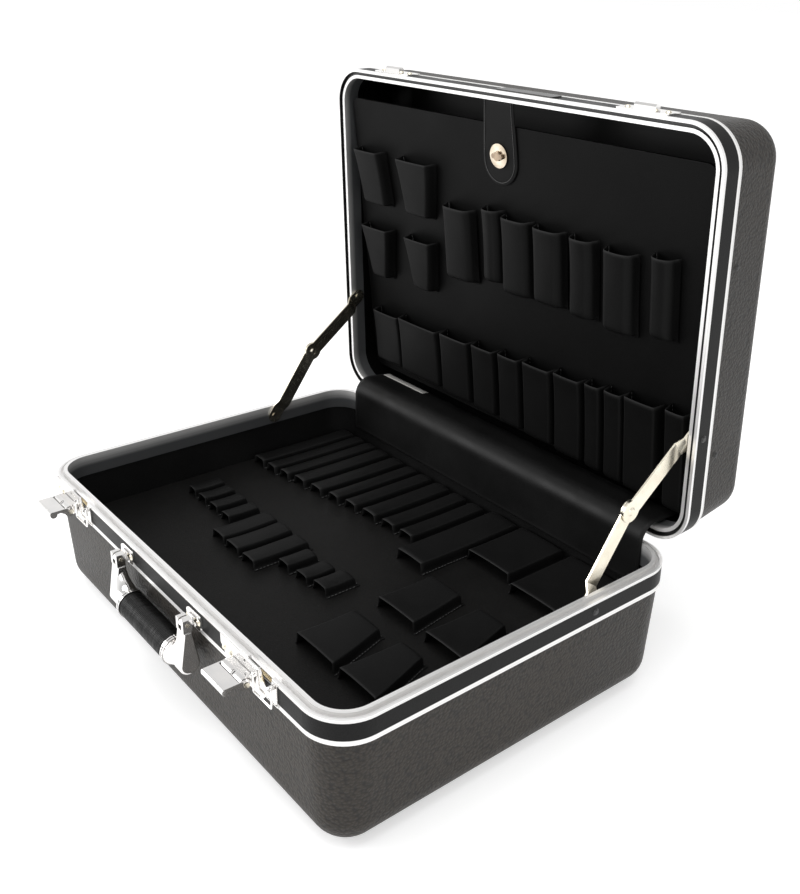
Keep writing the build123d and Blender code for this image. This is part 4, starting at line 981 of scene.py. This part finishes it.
# tongue of the lid's board
tongue = {
    "thickness": 0.00144,
    "rings": 7,
    "gather": 1.5,  # brings the rings closer together at the rim
    "sides": 22,
    "inset": 0.0002,
    "waist": 0.0024,
    "hole": 0.0044,
    "under": 0.0003,
    "drop": (0.0006, 0.002),  # how far the rim falls, and over what width
    "pad": (0.0002, 260, 0.006),  # height of its swell, how closely it repeats and where it starts
    "plain": 0.012,  # from the lock's middle, where it lies flat
    "hem": 0.003,
    "sewn": 0.0032,
    "threadUnder": 0.0002,
    "shortest": 0.0005,
}
tongueLocal = [lidBoardPose.inverted() @ v.co for v in frame["nodes"]["lid_tongue"].data.vertices]
tongueSides = (min(p.x for p in tongueLocal), max(p.x for p in tongueLocal))
tongueEnds = (min(p.y for p in tongueLocal), max(p.y for p in tongueLocal))
tongueTop = max(p.z for p in tongueLocal)
tongueHalf = (tongueSides[1] - tongueSides[0]) / 2
tongueMiddle = (tongueSides[1] + tongueSides[0]) / 2
tongueBend = tongueEnds[0] + tongueHalf
plateLow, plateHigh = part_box("turn_lock_plate")
lockSpot = (lidBoardPose.inverted() @ ((plateLow + plateHigh) / 2)).to_2d()


def tongueEdge(inset):
    # from the root's left corner round the tip to the right corner
    half = tongueHalf - inset
    steps = tongue["sides"]
    left = []
    for step in range(steps):
        share = step / steps
        v = tongueEnds[1] + (tongueBend - tongueEnds[1]) * share
        narrow = tongue["waist"] * math.cos(share * math.pi / 2) ** 2
        left.append((tongueMiddle - half + narrow, v))
    tip = []
    for step in range(2 * steps + 1):
        angle = math.pi + math.pi * step / (2 * steps)
        tip.append((tongueMiddle + half * math.cos(angle), tongueBend + half * math.sin(angle)))
    return left + tip + [(2 * tongueMiddle - x, v) for x, v in reversed(left)]


def tongueRows():
    # rings from the rim in to the hole for the lock
    rim = tongueEdge(tongue["inset"])
    left, right = rim[0][0], rim[-1][0]
    for step in range(1, tongue["sides"]):
        rim.append((right + (left - right) * step / tongue["sides"], tongueEnds[1]))
    fall, fallWidth = tongue["drop"]
    swell, swellScale, swellWidth = tongue["pad"]
    rows = []
    for ring in range(tongue["rings"] + 1):
        share = (ring / tongue["rings"]) ** tongue["gather"]
        row = []
        for x, v in rim + rim[:1]:
            reach = Vector((x - lockSpot.x, v - lockSpot.y))
            distance = reach.length
            at = tongue["hole"] + (distance - tongue["hole"]) * (1 - share)
            spot = lockSpot + reach.normalized() * at
            edge = distance - at
            drop = fall * max(0.0, 1 - edge / fallWidth)
            pad = swell * math.sin(spot.y * swellScale) * min(1.0, edge / swellWidth)
            lift = tongueTop - tongue["under"] - drop + (pad if at > tongue["plain"] else 0.0)
            hem = max(0.0, 1 - edge / tongue["hem"])
            row.append(((spot.x, spot.y, lift), (spot.x, spot.y), hem))
        rows.append(row)
    return rows


tongueMesh = gridMesh("lidTongue", [tongueRows()], lidBoardPose)
tonguePiece = addPiece("lidTongue", tongueMesh, "lid", tongueVinyl, ["lid_tongue"])
thicken(tonguePiece, tongue["thickness"])
sewn = tongueEdge(tongue["sewn"])
tongueLines = []
for first, second in zip(sewn[:-1], sewn[1:]):
    if math.dist(first, second) > tongue["shortest"]:
        tongueLines.append((first + (0.0,), second + (0.0,), tongueTop - tongue["threadUnder"]))
threadPiece("lidTongueThread", tongueLines, lidBoardPose, "lid")
print("tongue sewn")


# grip: a sleeve wrinkled in fine rings, over the handle's rod
grip = {
    "rings": 44,
    "steps": 5,
    "sides": 56,
    "depth": 0.00042,
    "deep": (0.6, 1.0),
    "uneven": 0.35,
    "waves": 3,
    "endRound": 0.0011,
    "rodRadius": 0.0041,
}


def gripRows():
    low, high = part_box("handle_grip")
    radius = (high.z - low.z) / 2
    centre = (low + high) / 2
    length = high.x - low.x
    phases = [(random.uniform(0, 6.28), random.uniform(*grip["deep"])) for _ in range(grip["rings"] + 1)]
    stations = grip["rings"] * grip["steps"]
    rows = []
    for station in range(-1, stations + 2):
        inner = station in (-1, stations + 1)
        share = min(max(station, 0), stations) / stations
        x = low.x + share * length
        phase, deep = phases[int(share * grip["rings"] * 0.999)]  # the last station is in the last ring
        ring = (1 - math.cos(2 * math.pi * share * grip["rings"])) / 2
        toEnd = min(x - low.x, high.x - x)
        missing = max(0.0, grip["endRound"] - toEnd)
        shoulder = grip["endRound"] - math.sqrt(max(0.0, grip["endRound"] ** 2 - missing ** 2))
        row = []
        for side in range(grip["sides"] + 1):
            angle = 2 * math.pi * side / grip["sides"]
            groove = grip["depth"] * deep * (1 - ring)
            groove *= 1 + grip["uneven"] * math.sin(grip["waves"] * angle + phase)
            reach = grip["rodRadius"] if inner else radius - shoulder - max(0.0, groove)
            place = (x, centre.y + reach * math.cos(angle), centre.z + reach * math.sin(angle))
            row.append((place, (x, angle * radius), 0.0))
        rows.append(row)
    return rows


gripMesh = gridMesh("handleSleeve", [gripRows()], Matrix.Identity(4))
addPiece("handleSleeve", gripMesh, "handle", gripMaterial, ["handle_grip"])
print("grip wrapped")


# latch springs: closed coils of wire, in the dark opening at the rim
spring = {"wire": 0.00030, "pitch": 0.00105, "turnSteps": 14, "sides": 8}


def coilPatch(low, high):
    radius = (high.z - low.z) / 2 - spring["wire"]
    centre = (low + high) / 2
    start, end = low.x + spring["wire"], high.x - spring["wire"]
    turns = (end - start) / spring["pitch"]
    steps = int(turns * spring["turnSteps"])
    rows = []
    for step in range(steps + 1):
        share = step / steps
        angle = 2 * math.pi * turns * share
        outward = Vector((0, math.cos(angle), math.sin(angle)))
        middle = Vector((start + share * (end - start), centre.y, centre.z)) + outward * radius
        row = []
        for side in range(spring["sides"] + 1):
            turn = 2 * math.pi * side / spring["sides"]
            offset = outward * math.cos(turn) + Vector((1, 0, 0)) * math.sin(turn)
            row.append((middle + offset * spring["wire"], (turn, share), 0.0))
        rows.append(row)
    return rows


coils = []
for group in islands(frame["nodes"]["latch_springs"]):
    low = Vector([min(p[axis] for p in group) for axis in range(3)])
    high = Vector([max(p[axis] for p in group) for axis in range(3)])
    coils.append(coilPatch(low, high))
springMesh = gridMesh("latchCoils", coils, Matrix.Identity(4))
addPiece("latchCoils", springMesh, "base", springMaterial, ["latch_springs"])
print("springs wound")


# bare paper label, stuck on the cover where the cover is sewn to the lid
label = {
    "left": -0.195,
    "right": -0.128,
    "edges": (0.0004, 0.0096),  # back from the end of the cover
    "lift": 0.00035,
    "thickness": 0.00015,
    "rows": 4,
    "columns": 8,
}
coverEnd, endFacing = coverPath[-1][:2]
labelRows = []
for step in range(label["rows"] + 1):
    share = step / label["rows"]
    back = label["edges"][1] + (label["edges"][0] - label["edges"][1]) * share
    spot = coverEnd - onwardAt(endFacing) * back
    spot += outFrom(endFacing) * (hingeCover["thickness"] / 2 + label["lift"])
    row = []
    for column in range(label["columns"] + 1):
        x = label["left"] + (label["right"] - label["left"]) * column / label["columns"]
        row.append(((x, spot.x, spot.y), (x, back), 0.0))
    labelRows.append(row)
labelMesh = gridMesh("bareLabel", [labelRows], Matrix.Identity(4))
labelPiece = addPiece("bareLabel", labelMesh, "lid", labelMaterial)
thicken(labelPiece, label["thickness"], 0)
print("label placed")


# floor, world and lamps
floor = {
    "reach": 14.0,
    "shader": {"Base Color": grey(0.80), "Roughness": 0.9, "Specular IOR Level": 0.1},
    "glow": 0.48,
}
floorMesh = bpy.data.meshes.new("floor")
floorCorners = [(x * floor["reach"], y * floor["reach"], 0) for x, y in ((-1, -1), (1, -1), (1, 1), (-1, 1))]
floorMesh.from_pydata(floorCorners, [], [(0, 1, 2, 3)])
floorPiece = bpy.data.objects.new("floor", floorMesh)
scene.collection.objects.link(floorPiece)
floorMaterial, tree, principled, place = startMaterial("paleFloor", floor)
rays = addNode(tree, "ShaderNodeLightPath")
seen = mathNode(tree, "ADD", rays.outputs["Is Camera Ray"], rays.outputs["Is Glossy Ray"], clamp=True)
glowInputs = {"Color": grey(1.0), "Strength": times(tree, seen, floor["glow"])}
glow = addNode(tree, "ShaderNodeEmission", glowInputs)
both = addNode(tree, "ShaderNodeAddShader", {0: principled.outputs[0], 1: glow.outputs[0]})
tree.links.new(both.outputs[0], tree.nodes["Material Output"].inputs["Surface"])
floorMesh.materials.append(floorMaterial)

# metal sees a white wall under a darker ceiling
studio = {"fill": 0.75, "whiteUpTo": 0.3, "darkFrom": 0.85, "ceiling": 0.62}
world = bpy.data.worlds.new("studio")
scene.world = world
world.use_nodes = True
tree = world.node_tree
rays = addNode(tree, "ShaderNodeLightPath").outputs
height = coordinate(tree, addNode(tree, "ShaderNodeTexCoord").outputs["Generated"], "Z")
room = remap(tree, height, studio["whiteUpTo"], studio["darkFrom"], 1.0, studio["ceiling"])
strength = mathNode(tree, "ADD", rays["Is Camera Ray"], rays["Is Transmission Ray"], clamp=True)
strength = mathNode(tree, "ADD", strength, times(tree, rays["Is Glossy Ray"], room))
strength = mathNode(tree, "ADD", strength, times(tree, rays["Is Diffuse Ray"], studio["fill"]))
sky = addNode(tree, "ShaderNodeBackground", {"Color": grey(1.0), "Strength": strength})
tree.links.new(sky.outputs[0], tree.nodes["World Output"].inputs["Surface"])

lamps = {
    "overhead": {"place": (0.1, -0.2, 1.9), "aim": (0.0, 0.0, 0.1), "size": 1.6, "power": 13.0},
    "frontLeft": {"place": (-1.3, -1.5, 0.9), "aim": (0.0, 0.0, 0.1), "size": 1.2, "power": 21.0},
    "right": {"place": (1.7, -0.4, 0.6), "aim": (0.0, 0.0, 0.12), "size": 1.0, "power": 2.2},
}
for name, lamp in lamps.items():
    data = bpy.data.lights.new(name, "AREA")
    data.shape = "DISK"
    data.size = lamp["size"]
    data.energy = lamp["power"]
    piece = bpy.data.objects.new(name, data)
    scene.collection.objects.link(piece)
    piece.location = lamp["place"]
    direction = Vector(lamp["aim"]) - Vector(lamp["place"])
    piece.rotation_euler = direction.to_track_quat("-Z", "Y").to_euler()
scene.view_settings.view_transform = "Standard"
print("floor and lamps set")
